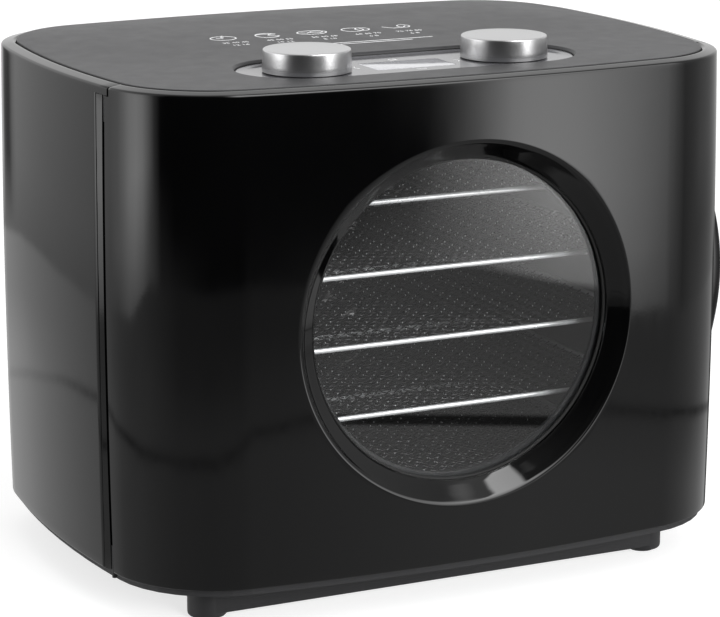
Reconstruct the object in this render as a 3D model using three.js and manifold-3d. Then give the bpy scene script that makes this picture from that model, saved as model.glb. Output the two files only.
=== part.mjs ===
// Food dehydrator: a round-windowed, side-hinged door on a fan-blown drying cabinet.
// Millimetres, +Z up. Origin: on the floor, under the centre of the shell's plan.
// -Y is the front (the door and its window), +X is the side of the door pull.
import * as THREE from "three";
import { mergeVertices } from "three/addons/utils/BufferGeometryUtils.js";
import Module from "manifold-3d";

const wasm = await Module();
wasm.setup();

// ---------------------------------------------------------------- driving sizes
// Shell: plan outline of four bowed sides joined by round corners.
const SHELL_WIDTH = 360;
const SHELL_DEPTH = 276;
const SHELL_HEIGHT = 254;
const SIDE_BOW = 12.8;
const FRONT_BOW = 13.2;
const CORNER_RADIUS = 62;
const BELLY = 1.4; // the walls stand out this much at half height
const WALL = 3;
const CORNER_STEPS = 8;
const SIDE_STEPS = 4;

// Top rim and the panel that it frames.
const RIM_WIDTH = 8;
const RIM_RISE = 1.2; // the rim's inner edge over its outer edge
const RIM_DEPTH = 4.5;
const RIM_EDGE = 1.4; // the round of the outer edge
const PANEL_THICKNESS = 4.4;
const PANEL_CROWN = 2.6;
const PANEL_BACK_LIFT = 0.9; // the panel's rear edge stands this far over the rim

// Clearances.
const SEAT = 0.3; // between pieces that rest on each other
const GAP = 0.4; // between shells that close on each other
const RUN = 0.35; // between turning pieces

// Door seam, door hinge and door pull.
const DOOR_DEPTH = 62; // from the front to the door's rear edge
const SEAM_WIDTH = 8.4; // between the door's edge and the cabinet's
const HINGE_SETBACK = 4; // the hinge axis behind the door's edge
const COLUMN_SETBACK = 3; // the hinge axis inside the shell's side
const COLUMN_RADIUS = 6.2; // the column fills the seam, flush with the shell's side
const HINGE_RELIEF = 6.6;
const RIM_SEAM = 8; // the rim parts this far in front of the hinge axis
const PIN_RADIUS = 1.5;
const PIN_LENGTH = 14;
const PULL_HEIGHT = 122;
const PULL_REACH = 10;
const PULL_THICKNESS = 6;
const PULL_ROOT = 5;
const PULL_SETBACK = 4;
const LINER_MARGIN = 4;

// Window.
const WINDOW_RADIUS = 94.5;
const WINDOW_SIGHT_RADIUS = 85;
const WINDOW_RECESS = 9.4;
const WINDOW_TUBE_WALL = 4;
const GASKET_SIGHT = 2.5;
const GASKET_THICKNESS = 2;
const GLASS_THICKNESS = 4;
const SIGHT_LIP = 1.6;
const GLASS_REST = 7; // the glass and gasket reach this far past the sight edge
const DOOR_LINER_WALL = 2;
const WINDOW_STEPS = 48;

// Floor of the cabinet, foot rails and feet.
const FOOT_HEIGHT = 24;
const BASE_THICKNESS = 3.4;
const BASE_INSET = 3;
const BASE_LIP_INSET = 4.3;
const BASE_LIP_WALL = 2.4;
const BASE_LIP_HEIGHT = 6;
const BASE_LIP_START = 12; // the lip begins this far behind the cabinet's front edge
const FOOT_SIDE_INSET = 49.4;
const FOOT_END_INSET = 44;
const FOOT_RADIUS = 10.4;
const FOOT_ROUND = 2;
const RAIL_THICKNESS = 8;
const RAIL_CLEAR = 3.6; // under the foot rails
const PAD_RADIUS = 7;
const PAD_THICKNESS = 2.4;
const PAD_PROUD = 1;

// Drying chamber.
const CHAMBER_SIDE_ROOM = 50;
const CHAMBER_FLOOR_ROOM = 12;
const CHAMBER_ROOF_ROOM = 18;
const CHAMBER_BACK_ROOM = 66;
const LINER_WALL = 2;
const FRAME_DEPTH = 7.7;
const FRAME_INSET = 1.5;

// Trays.
const TRAY_COUNT = 5;
const TRAY_FLOOR_ROOM = 24;
const TRAY_ROOF_ROOM = 25;
const TRAY_SIDE_ROOM = 5;
const TRAY_FRONT_ROOM = 39;
const TRAY_BACK_ROOM = 6;
const TRAY_CORNER = 32;
const ROD_RADIUS = 1.6;
const ROD_SIDES = 6;
const MESH_THICKNESS = 1.6;
const MESH_BORDER = 5;
const MESH_BAR = 3.6;
const MESH_COLUMNS = 6;
const MESH_ROWS = 4;
const LEDGE_REACH = 10;
const LEDGE_THICKNESS = 3;
const RAIL_PLATE = 2.4;

// Fan, heater and motor.
const FAN_RADIUS = 62;
const FAN_DEPTH = 20;
const FAN_BLADES = 7;
const BLADE_THICKNESS = 2;
const HUB_RADIUS = 15;
const SHAFT_RADIUS = 3;
const GRILLE_THICKNESS = 2.5;
const HEATER_RADIUS = 74;
const HEATER_TUBE = 3.2;
const CLIP_HALF_DEPTH = 4.5;
const SHROUD_RADIUS = 84;
const SHROUD_WALL = 2.4;
const SHROUD_DEPTH = 36;
const MOTOR_RADIUS = 24;
const MOTOR_DEPTH = 18;
const MOTOR_BUSH_RADIUS = 7;

// Rear vent and power inlet.
const VENT_HALF_WIDTH = 70;
const VENT_HALF_HEIGHT = 45;
const VENT_FRAME = 8;
const VENT_PLATE = 3;
const VENT_SLOTS = 9;
const VENT_SLOT_HEIGHT = 5;
const INLET_SIDE_INSET = 84;
const INLET_RISE = 28;
const INLET_WIDTH = 28;
const INLET_HEIGHT = 22;
const INLET_DEPTH = 22;

// Controls on the top panel.
const CONTROL_X = -4.8;
const CONTROL_DEPTH = 66.5; // from the front to the line of the dials
const INLAY_HALF_LENGTH = 94.8;
const INLAY_HALF_WIDTH = 33.4;
const INLAY_THICKNESS = 1.2;
const INLAY_RECESS = 2.2; // the inlay's face under the rim's inner edge
const INLAY_CHAMFER = 1.2;
const KNOB_SPACING = 114.8;
const KNOB_RADIUS = 23.3;
const KNOB_TOP_RADIUS = 22.8;
const KNOB_HEIGHT = 11.6;
const KNOB_CHAMFER = 0.7;
const KNOB_LIFT = 0.5;
const KNOB_WALL = 2.4;
const KNOB_CROWN = 2.5;
const BUSH_RADIUS = 4.6;
const ENCODER_SIZE = 13;
const ENCODER_HEIGHT = 6.5;
const ENCODER_SHAFT_RADIUS = 3;
const LENS_WIDTH = 46;
const LENS_DEPTH = 24;
const LENS_THICKNESS = 1;
const BOARD_WIDTH = 178;
const BOARD_DEPTH = 44;
const BOARD_THICKNESS = 1.6;

// Control housing: the box under the top panel, over the chamber.
const HOUSING_HEIGHT = 24;
const HOUSING_INSET = 14;
const HOUSING_WALL = 2.2;
const HOUSING_POST_RADIUS = 3;

// Door catch.
const MAGNET_DROP = 70; // under the shell's top
const MAGNET_WIDTH = 8;
const MAGNET_HEIGHT = 22;
const MAGNET_DEPTH = 3;
const CATCH_SIDE_INSET = 23;
const CATCH_DEPTH = 1.2;
const BOSS_WALL = 2;

// ---------------------------------------------------------------- derived places
const SHELL_LOW = FOOT_HEIGHT;
const SHELL_TOP = SHELL_LOW + SHELL_HEIGHT;
const SHELL_MID = (SHELL_LOW + SHELL_TOP) / 2;
const RIM_TOP = SHELL_TOP + RIM_RISE;
const RIM_UNDER = SHELL_TOP - RIM_DEPTH;
const BASE_TOP = SHELL_LOW - GAP;
const BASE_LOW = BASE_TOP - BASE_THICKNESS;
const WINDOW_Z = SHELL_MID;
const FRONT_Y = -SHELL_DEPTH / 2;
const BACK_Y = SHELL_DEPTH / 2;
const SIGHT_Y = FRONT_Y + WINDOW_RECESS;
const DOOR_EDGE_Y = FRONT_Y + DOOR_DEPTH;
const CABINET_EDGE_Y = DOOR_EDGE_Y + SEAM_WIDTH;
const HINGE_Y = DOOR_EDGE_Y + HINGE_SETBACK;
const CONTROL_Y = FRONT_Y + CONTROL_DEPTH;
const FOOT_X = SHELL_WIDTH / 2 - FOOT_SIDE_INSET;
const FOOT_Y = SHELL_DEPTH / 2 - FOOT_END_INSET;
const HOUSING_LOW = SHELL_TOP - HOUSING_HEIGHT;
const CHAMBER_HALF_WIDTH = SHELL_WIDTH / 2 - CHAMBER_SIDE_ROOM;
const CHAMBER_LOW = SHELL_LOW + CHAMBER_FLOOR_ROOM;
const CHAMBER_TOP = HOUSING_LOW - CHAMBER_ROOF_ROOM;
const CHAMBER_HEIGHT = CHAMBER_TOP - CHAMBER_LOW;
const CHAMBER_BACK_Y = BACK_Y - CHAMBER_BACK_ROOM;
const CHAMBER_FRONT_Y = DOOR_EDGE_Y + GAP + FRAME_DEPTH;
const TRAY_LOW_Z = CHAMBER_LOW + TRAY_FLOOR_ROOM;
const TRAY_PITCH = (CHAMBER_TOP - TRAY_ROOF_ROOM - TRAY_LOW_Z) / (TRAY_COUNT - 1);
const TRAY_HALF_WIDTH = CHAMBER_HALF_WIDTH - TRAY_SIDE_ROOM;
const TRAY_FRONT_Y = FRONT_Y + TRAY_FRONT_ROOM;
const TRAY_BACK_Y = CHAMBER_BACK_Y - TRAY_BACK_ROOM;
const FAN_Z = CHAMBER_LOW + CHAMBER_HEIGHT / 2;
const INLET_X = -(SHELL_WIDTH / 2 - INLET_SIDE_INSET);
const INLET_Z = SHELL_LOW + INLET_RISE;
const MAGNET_Z = SHELL_TOP - MAGNET_DROP;
const CATCH_X = SHELL_WIDTH / 2 - CATCH_SIDE_INSET;
const INLAY_TOP = RIM_TOP - INLAY_RECESS;
const GRILLE_FRONT_Y = CHAMBER_BACK_Y + SEAT;
const GRILLE_BACK_Y = GRILLE_FRONT_Y + GRILLE_THICKNESS;

const PLASTIC = { roughness: 0.12, metalness: 0 };
const finishes = {
  gloss: { color: 0x0b0b0c, ...PLASTIC },
  satin: { color: 0x4a4a4d, roughness: 0.45, metalness: 0 },
  matt: { color: 0x1b1b1d, roughness: 0.7, metalness: 0 },
  inlay: { color: 0x77777c, roughness: 0.2, metalness: 0.1 },
  rubber: { color: 0x111111, roughness: 0.9, metalness: 0 },
  glass: { color: 0x9aa0a4, roughness: 0.03, metalness: 0, transparent: true, opacity: 0.3 },
  aluminium: { color: 0xc4c5c8, roughness: 0.3, metalness: 1 },
  chrome: { color: 0xe2e3e6, roughness: 0.12, metalness: 1 },
  steel: { color: 0x9b9ca0, roughness: 0.35, metalness: 1 },
  board: { color: 0x1d5a34, roughness: 0.5, metalness: 0 },
  display: { color: 0x8f9498, roughness: 0.15, metalness: 0 },
};

// ---------------------------------------------------------------- shape helpers

/** A closed BufferGeometry as a manifold solid. */
function solid(geometry) {
  const bare = geometry.clone();
  bare.deleteAttribute("normal");
  bare.deleteAttribute("uv");
  const merged = mergeVertices(bare, 1e-4);
  const corners = Array.from(merged.index.array);
  const whole = (_, i) => new Set(corners.slice(i - (i % 3), i - (i % 3) + 3)).size === 3;
  const triVerts = new Uint32Array(corners.filter(whole));
  const vertProperties = new Float32Array(merged.attributes.position.array);
  return new wasm.Manifold(new wasm.Mesh({ numProp: 3, vertProperties, triVerts }));
}

/** A manifold solid as a BufferGeometry. */
function geometryOf(body) {
  const mesh = body.getMesh();
  const geometry = new THREE.BufferGeometry();
  geometry.setAttribute("position", new THREE.BufferAttribute(new Float32Array(mesh.vertProperties), 3));
  geometry.setIndex(new THREE.BufferAttribute(new Uint32Array(mesh.triVerts), 1));
  geometry.computeVertexNormals();
  return geometry;
}

const joined = (...bodies) => bodies.reduce((all, body) => all.add(body));
const cut = (body, ...tools) => tools.reduce((rest, tool) => rest.subtract(tool), body);

/** An axis-aligned box between two corners. */
function box(x0, x1, y0, y1, z0, z1) {
  const geometry = new THREE.BoxGeometry(x1 - x0, y1 - y0, z1 - z0);
  geometry.translate((x0 + x1) / 2, (y0 + y1) / 2, (z0 + z1) / 2);
  return solid(geometry);
}

/** An upright cylinder. */
function post(radius, x, y, z0, z1, steps = 24) {
  const geometry = new THREE.CylinderGeometry(radius, radius, z1 - z0, steps);
  geometry.rotateX(Math.PI / 2);
  geometry.translate(x, y, (z0 + z1) / 2);
  return solid(geometry);
}

/** A cylinder along Y. */
function drum(radius, x, z, y0, y1, steps = 32) {
  const geometry = new THREE.CylinderGeometry(radius, radius, y1 - y0, steps);
  geometry.translate(x, (y0 + y1) / 2, z);
  return solid(geometry);
}

/** Points of a flat outline, with the winding that the extruder and the lathe need. */
function wound(points) {
  return THREE.ShapeUtils.isClockWise(points) ? points.slice().reverse() : points;
}

/** A plan outline raised from z0 to z1, with optional holes. */
function raised(points, z0, z1, holes = []) {
  const shape = new THREE.Shape(points);
  holes.forEach((hole) => shape.holes.push(new THREE.Path(hole)));
  const geometry = new THREE.ExtrudeGeometry(shape, { depth: z1 - z0, bevelEnabled: false });
  geometry.translate(0, 0, z0);
  return solid(geometry);
}

/** An outline in X and Z, run along Y from y0 to y1, with optional holes. */
function upright(points, y0, y1, holes = []) {
  const shape = new THREE.Shape(points);
  holes.forEach((hole) => shape.holes.push(new THREE.Path(hole)));
  const geometry = new THREE.ExtrudeGeometry(shape, { depth: y1 - y0, bevelEnabled: false });
  geometry.rotateX(Math.PI / 2);
  geometry.translate(0, y1, 0);
  return solid(geometry);
}

/** A closed profile of [radius, height] pairs turned about an upright axis. */
function turned(profile, x, y, steps) {
  const loop = wound(profile.map(([radius, height]) => new THREE.Vector2(radius, height)));
  const geometry = new THREE.LatheGeometry([...loop, loop[0]], steps);
  geometry.rotateX(Math.PI / 2);
  geometry.translate(x, y, 0);
  return solid(geometry);
}

/** A closed profile of [radius, y] pairs turned about an axis along Y at height z. */
function turnedAlongY(profile, x, z, steps) {
  const loop = wound(profile.map(([radius, y]) => new THREE.Vector2(radius, y)));
  const geometry = new THREE.LatheGeometry([...loop, loop[0]], steps);
  geometry.translate(x, 0, z);
  return solid(geometry);
}

/** A surface through rings of points: capped at both ends, or closed on itself. */
function loftGeometry(rings, closed = false) {
  const count = rings[0].length;
  const positions = rings.flat().flatMap((point) => [point.x, point.y, point.z]);
  const faces = [];
  const last = closed ? rings.length : rings.length - 1;
  for (let ring = 0; ring < last; ring += 1) {
    const low = ring * count;
    const high = ((ring + 1) % rings.length) * count;
    for (let i = 0; i < count; i += 1) {
      const next = (i + 1) % count;
      faces.push(low + i, low + next, high + next, low + i, high + next, high + i);
    }
  }
  if (!closed) {
    const flat = rings[0].map((point) => new THREE.Vector2(point.x, point.y));
    const top = (rings.length - 1) * count;
    THREE.ShapeUtils.triangulateShape(flat, []).forEach(([a, b, c]) => {
      faces.push(a, c, b, top + a, top + b, top + c);
    });
  }
  const geometry = new THREE.BufferGeometry();
  geometry.setAttribute("position", new THREE.Float32BufferAttribute(positions, 3));
  geometry.setIndex(faces);
  return geometry;
}

const loft = (rings, closed = false) => solid(loftGeometry(rings, closed));

/** The anticlockwise points of a circle. */
function circle(radius, x, y, steps) {
  return Array.from({ length: steps }, (_, i) => {
    const angle = (2 * Math.PI * i) / steps;
    return new THREE.Vector2(x + radius * Math.cos(angle), y + radius * Math.sin(angle));
  });
}

/** The anticlockwise points of a rectangle with round corners. */
function roundedRectangle(x0, x1, y0, y1, radius, steps) {
  const corners = [
    [x1 - radius, y1 - radius, 0],
    [x0 + radius, y1 - radius, 1],
    [x0 + radius, y0 + radius, 2],
    [x1 - radius, y0 + radius, 3],
  ];
  return corners.flatMap(([x, y, quarter]) =>
    Array.from({ length: steps + 1 }, (_, i) => {
      const angle = ((quarter + i / steps) * Math.PI) / 2;
      return new THREE.Vector2(x + radius * Math.cos(angle), y + radius * Math.sin(angle));
    }),
  );
}

/** A rectangle about a centre. */
function rectangle(x, y, width, height) {
  const [a, b] = [width / 2, height / 2];
  return [
    new THREE.Vector2(x - a, y - b),
    new THREE.Vector2(x + a, y - b),
    new THREE.Vector2(x + a, y + b),
    new THREE.Vector2(x - a, y + b),
  ];
}

/** The outline with two straight sides and round ends that frames the controls. */
function stadium(x, y, halfLength, halfWidth, steps = 10) {
  return roundedRectangle(x - halfLength, x + halfLength, y - halfWidth, y + halfWidth, halfWidth, steps);
}

// ---------------------------------------------------------------- shell plan

/** The arcs of the shell's plan: a front arc, a side arc and the corner that joins them. */
function shellArcs() {
  const halfFront = SHELL_WIDTH / 2 - SIDE_BOW;
  const halfSide = SHELL_DEPTH / 2 - FRONT_BOW;
  const frontRadius = (halfFront ** 2 + FRONT_BOW ** 2) / (2 * FRONT_BOW);
  const sideRadius = (halfSide ** 2 + SIDE_BOW ** 2) / (2 * SIDE_BOW);
  const frontCentre = new THREE.Vector2(0, frontRadius - SHELL_DEPTH / 2);
  const sideCentre = new THREE.Vector2(SHELL_WIDTH / 2 - sideRadius, 0);
  // The corner's centre lies a corner radius inside both arcs.
  const first = frontRadius - CORNER_RADIUS;
  const second = sideRadius - CORNER_RADIUS;
  const apart = sideCentre.clone().sub(frontCentre);
  const distance = apart.length();
  const along = (distance ** 2 + first ** 2 - second ** 2) / (2 * distance);
  const across = Math.sqrt(first ** 2 - along ** 2);
  const direction = apart.divideScalar(distance);
  const corner = frontCentre
    .clone()
    .addScaledVector(direction, along)
    .add(new THREE.Vector2(-direction.y, direction.x).multiplyScalar(across));
  const other = frontCentre
    .clone()
    .addScaledVector(direction, along)
    .add(new THREE.Vector2(direction.y, -direction.x).multiplyScalar(across));
  const centre = corner.x > other.x ? corner : other;
  return {
    frontRadius,
    sideRadius,
    frontCentre,
    sideCentre,
    corner: centre,
    frontEnd: centre.clone().sub(frontCentre).angle(),
    sideEnd: centre.clone().sub(sideCentre).angle(),
  };
}

const ARCS = shellArcs();

/** The shell's plan outline, moved inwards by inset. */
function planOutline(inset) {
  const arc = (centre, radius, from, to, steps) =>
    Array.from({ length: steps }, (_, i) => {
      const angle = from + ((to - from) * i) / steps;
      return new THREE.Vector2(
        centre.x + (radius - inset) * Math.cos(angle),
        centre.y + (radius - inset) * Math.sin(angle),
      );
    });
  const bottom = (3 * Math.PI) / 2;
  const quarter = [
    ...arc(ARCS.frontCentre, ARCS.frontRadius, bottom, ARCS.frontEnd, SIDE_STEPS),
    ...arc(ARCS.corner, CORNER_RADIUS, ARCS.frontEnd, ARCS.sideEnd, CORNER_STEPS),
    ...arc(ARCS.sideCentre, ARCS.sideRadius, ARCS.sideEnd, 2 * Math.PI, SIDE_STEPS),
  ];
  const sideTip = new THREE.Vector2(SHELL_WIDTH / 2 - inset, 0);
  const right = [...quarter, sideTip, ...quarter.slice(1).reverse().map((p) => new THREE.Vector2(p.x, -p.y))];
  const left = right.map((p) => new THREE.Vector2(-p.x, -p.y));
  const backTip = new THREE.Vector2(0, SHELL_DEPTH / 2 - inset);
  return [...right, backTip, ...left.slice(1)];
}

/** Half the shell's width at a depth y, at the height where the belly adds nothing. */
function halfWidthAt(y, inset = 0) {
  const sideReach = Math.abs((ARCS.sideRadius - inset) * Math.sin(ARCS.sideEnd));
  if (Math.abs(y) <= sideReach) {
    return ARCS.sideCentre.x + Math.sqrt((ARCS.sideRadius - inset) ** 2 - y ** 2);
  }
  const down = Math.abs(y) - Math.abs(ARCS.corner.y);
  return ARCS.corner.x + Math.sqrt((CORNER_RADIUS - inset) ** 2 - down ** 2);
}

/** Half the shell's depth at a place x, at the height where the belly adds nothing. */
function halfDepthAt(x, inset = 0) {
  const frontReach = Math.abs((ARCS.frontRadius - inset) * Math.cos(ARCS.frontEnd));
  if (Math.abs(x) <= frontReach) {
    return Math.sqrt((ARCS.frontRadius - inset) ** 2 - x ** 2) - ARCS.frontCentre.y;
  }
  const across = Math.abs(x) - ARCS.corner.x;
  return Math.abs(ARCS.corner.y) + Math.sqrt((CORNER_RADIUS - inset) ** 2 - across ** 2);
}

/** How far the belly pushes the wall out at height z. */
function bellyAt(z) {
  const share = (z - SHELL_MID) / (SHELL_HEIGHT / 2);
  return BELLY * Math.max(0, 1 - share ** 2);
}

const ring = (inset, z) => planOutline(inset).map((p) => new THREE.Vector3(p.x, p.y, z));

/** The space inside the shell's plan, moved inwards by inset, from z0 to z1. */
function shellCore(inset, z0, z1) {
  const levels = [z0, SHELL_LOW + SHELL_HEIGHT * 0.25, SHELL_MID, SHELL_LOW + SHELL_HEIGHT * 0.75, z1];
  const used = levels.filter((z, i) => i === 0 || i === levels.length - 1 || (z > z0 && z < z1));
  return loft(used.map((z) => ring(inset - bellyAt(z), z)));
}

/** The whole shell as one block, with its belly and its rounded rim. */
function shellBlock() {
  const quarters = [0, 0.25, 0.5, 0.75];
  const walls = quarters.map((share) => {
    const z = SHELL_LOW + SHELL_HEIGHT * share;
    return ring(-bellyAt(z), z);
  });
  return loft([
    ...walls,
    ring(0, SHELL_TOP - RIM_EDGE),
    ring(RIM_EDGE * 0.3, SHELL_TOP - RIM_EDGE * 0.3),
    ring(RIM_EDGE, SHELL_TOP),
    ring(RIM_WIDTH, RIM_TOP),
  ]);
}

const HINGE_X = -(halfWidthAt(HINGE_Y) - COLUMN_SETBACK);
const TALL = SHELL_HEIGHT; // overshoot of cutting tools

/** The shell's hollow wall with its rim, before it is parted into door and cabinet. */
function hollowShell() {
  const inside = shellCore(WALL, SHELL_LOW - 1, RIM_UNDER);
  const panelHole = raised(planOutline(RIM_WIDTH), RIM_UNDER - 1, RIM_TOP + 1);
  return cut(SHELL, inside, panelHole);
}

const SHELL = shellBlock();
const HOLLOW = hollowShell();
const WIDE = SHELL_WIDTH;

// ---------------------------------------------------------------- the model

const dehydrator = new THREE.Group();

/** Adds one named piece. */
function piece(name, body, finish) {
  const geometry = body instanceof THREE.BufferGeometry ? body : geometryOf(body);
  const mesh = new THREE.Mesh(geometry, new THREE.MeshStandardMaterial(finishes[finish]));
  mesh.name = name;
  dehydrator.add(mesh);
  return mesh;
}

// Cabinet shell: sides, back and rear rim, with the vent and inlet cut through its back.
function cabinetShell() {
  const seamY = HINGE_Y - RIM_SEAM + GAP;
  const wallCut = box(-WIDE, WIDE, -WIDE, CABINET_EDGE_Y, -TALL, RIM_UNDER);
  const rimCut = box(-WIDE, WIDE, -WIDE, seamY, -TALL, 2 * TALL);
  const relief = post(HINGE_RELIEF, HINGE_X, HINGE_Y, -1, RIM_UNDER, 32);
  // The rim's end is rounded about the hinge, so the door's rim turns past it.
  const rimEnd = cut(
    box(-WIDE, HINGE_X, -WIDE, HINGE_Y, RIM_UNDER - 1, 2 * TALL),
    post(RIM_SEAM - GAP, HINGE_X, HINGE_Y, RIM_UNDER - 2, 2 * TALL + 1, 48),
  );
  const wallY = halfDepthAt(VENT_HALF_WIDTH) - 3 * WALL;
  const [ventLow, ventHigh] = [FAN_Z - VENT_HALF_HEIGHT, FAN_Z + VENT_HALF_HEIGHT];
  const ventHole = box(-VENT_HALF_WIDTH, VENT_HALF_WIDTH, wallY, WIDE, ventLow, ventHigh);
  const inletHole = upright(
    rectangle(INLET_X, INLET_Z, INLET_WIDTH + 2 * SEAT, INLET_HEIGHT + 2 * SEAT),
    wallY - WALL,
    WIDE,
  );
  const pinHole = post(PIN_RADIUS + SEAT, HINGE_X, HINGE_Y, RIM_UNDER - 1, RIM_UNDER + 2, 16);
  return cut(HOLLOW, wallCut, rimCut, relief, rimEnd, ventHole, inletHole, pinHole);
}
piece("cabinet_shell", cabinetShell(), "gloss");

// Front frame of the cabinet: stands in the shell's mouth around the chamber.
function cabinetFrame() {
  const y0 = DOOR_EDGE_Y + GAP;
  const y1 = y0 + FRAME_DEPTH;
  const block = shellCore(FRAME_INSET, BASE_TOP + SEAT, RIM_UNDER - SEAT);
  const slab = block.intersect(box(-WIDE, WIDE, y0, y1, 0, TALL * 2));
  const mouth = box(
    -CHAMBER_HALF_WIDTH,
    CHAMBER_HALF_WIDTH,
    y0 - 1,
    y1 + 1,
    CHAMBER_LOW,
    CHAMBER_TOP,
  );
  const relief = post(HINGE_RELIEF, HINGE_X, HINGE_Y, -1, TALL * 2, 32);
  const overHousing = raised(planOutline(HOUSING_INSET - SEAT), HOUSING_LOW - SEAT, 2 * TALL);
  const catchSeat = box(
    CATCH_X - MAGNET_WIDTH / 2 - SEAT,
    CATCH_X + MAGNET_WIDTH / 2 + SEAT,
    y0 - 1,
    y0 + CATCH_DEPTH + SEAT,
    MAGNET_Z - MAGNET_HEIGHT / 2 - SEAT,
    MAGNET_Z + MAGNET_HEIGHT / 2 + SEAT,
  );
  return cut(slab, mouth, relief, overHousing, catchSeat);
}
piece("cabinet_frame", cabinetFrame(), "matt");
piece(
  "catch_plate",
  box(
    CATCH_X - MAGNET_WIDTH / 2,
    CATCH_X + MAGNET_WIDTH / 2,
    DOOR_EDGE_Y + GAP,
    DOOR_EDGE_Y + GAP + CATCH_DEPTH,
    MAGNET_Z - MAGNET_HEIGHT / 2,
    MAGNET_Z + MAGNET_HEIGHT / 2,
  ),
  "steel",
);

// Chamber liner: a sleeve with an open front and back.
function chamberLiner() {
  const y0 = CHAMBER_FRONT_Y + SEAT;
  const outer = box(
    -CHAMBER_HALF_WIDTH - LINER_WALL,
    CHAMBER_HALF_WIDTH + LINER_WALL,
    y0,
    CHAMBER_BACK_Y,
    CHAMBER_LOW - LINER_WALL,
    CHAMBER_TOP + LINER_WALL,
  );
  const inner = box(
    -CHAMBER_HALF_WIDTH,
    CHAMBER_HALF_WIDTH,
    y0 - 1,
    CHAMBER_BACK_Y + 1,
    CHAMBER_LOW,
    CHAMBER_TOP,
  );
  return cut(outer, inner);
}
piece("chamber_liner", chamberLiner(), "matt");

// Tray runners: a plate with one ledge under each tray, on both sides of the chamber.
const trayZ = (index) => TRAY_LOW_Z + index * TRAY_PITCH;
function trayRunner(side) {
  const wallX = CHAMBER_HALF_WIDTH - SEAT;
  const plate = [wallX - RAIL_PLATE, wallX];
  const ledge = [wallX - LEDGE_REACH, wallX];
  const y0 = CHAMBER_FRONT_Y + SEAT;
  const y1 = CHAMBER_BACK_Y - SEAT;
  const slab = ([near, far], z0, z1) => {
    const [x0, x1] = side < 0 ? [-far, -near] : [near, far];
    return box(x0, x1, y0, y1, z0, z1);
  };
  const ledges = Array.from({ length: TRAY_COUNT }, (_, i) => {
    const top = trayZ(i) - ROD_RADIUS - SEAT;
    return slab(ledge, top - LEDGE_THICKNESS, top);
  });
  return joined(slab(plate, CHAMBER_LOW + SEAT, CHAMBER_TOP - SEAT), ...ledges);
}
piece("tray_runner_left", trayRunner(-1), "matt");
piece("tray_runner_right", trayRunner(1), "matt");

// Trays: a bent rod loop and the mesh that it carries.
function trayLoop(offset) {
  return roundedRectangle(
    -TRAY_HALF_WIDTH + offset,
    TRAY_HALF_WIDTH - offset,
    TRAY_FRONT_Y + offset,
    TRAY_BACK_Y - offset,
    TRAY_CORNER - offset,
    4,
  );
}
function trayFrame(z) {
  const rings = Array.from({ length: ROD_SIDES }, (_, side) => {
    const angle = (2 * Math.PI * side) / ROD_SIDES;
    const offset = ROD_RADIUS * (1 - Math.cos(angle));
    return trayLoop(offset).map((p) => new THREE.Vector3(p.x, p.y, z + ROD_RADIUS * Math.sin(angle)));
  });
  return loft(rings, true);
}
function trayMesh(z) {
  const edge = 2 * ROD_RADIUS + SEAT;
  const [low, high] = [z - MESH_THICKNESS / 2, z + MESH_THICKNESS / 2];
  const [halfWidth, y0, y1] = [TRAY_HALF_WIDTH - edge, TRAY_FRONT_Y + edge, TRAY_BACK_Y - edge];
  const plate = raised(trayLoop(edge), low, high);
  const middle = raised(trayLoop(edge + MESH_BORDER), low - 1, high + 1);
  const bars = [];
  for (let i = 1; i < MESH_COLUMNS; i += 1) {
    const x = -halfWidth + (2 * halfWidth * i) / MESH_COLUMNS - MESH_BAR / 2;
    bars.push(box(x, x + MESH_BAR, y0, y1, low, high));
  }
  for (let i = 1; i < MESH_ROWS; i += 1) {
    const y = y0 + ((y1 - y0) * i) / MESH_ROWS - MESH_BAR / 2;
    bars.push(box(-halfWidth, halfWidth, y, y + MESH_BAR, low, high));
  }
  return joined(plate.subtract(middle), joined(...bars).intersect(plate));
}
for (let i = 0; i < TRAY_COUNT; i += 1) {
  piece(`tray_frame_${i + 1}`, trayFrame(trayZ(i)), "chrome");
  piece(`tray_mesh_${i + 1}`, trayMesh(trayZ(i)), "chrome");
}

// Fan grille: the chamber's back wall, with rings of slots in front of the fan.
function fanGrille() {
  const outline = rectangle(
    0,
    CHAMBER_LOW + CHAMBER_HEIGHT / 2,
    2 * (CHAMBER_HALF_WIDTH + LINER_WALL),
    CHAMBER_HEIGHT + 2 * LINER_WALL,
  );
  const slots = [];
  [[24, 6], [42, 9], [60, 12]].forEach(([radius, count]) => {
    for (let i = 0; i < count; i += 1) {
      const middle = (2 * Math.PI * i) / count;
      const half = (Math.PI / count) * 0.68;
      const at = (r, a) => new THREE.Vector2(r * Math.cos(a), FAN_Z + r * Math.sin(a));
      slots.push([
        at(radius - 4, middle - half),
        at(radius + 4, middle - half),
        at(radius + 4, middle),
        at(radius + 4, middle + half),
        at(radius - 4, middle + half),
        at(radius - 4, middle),
      ]);
    }
  });
  return upright(outline, GRILLE_FRONT_Y, GRILLE_BACK_Y, slots);
}
piece("fan_grille", fanGrille(), "steel");

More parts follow.
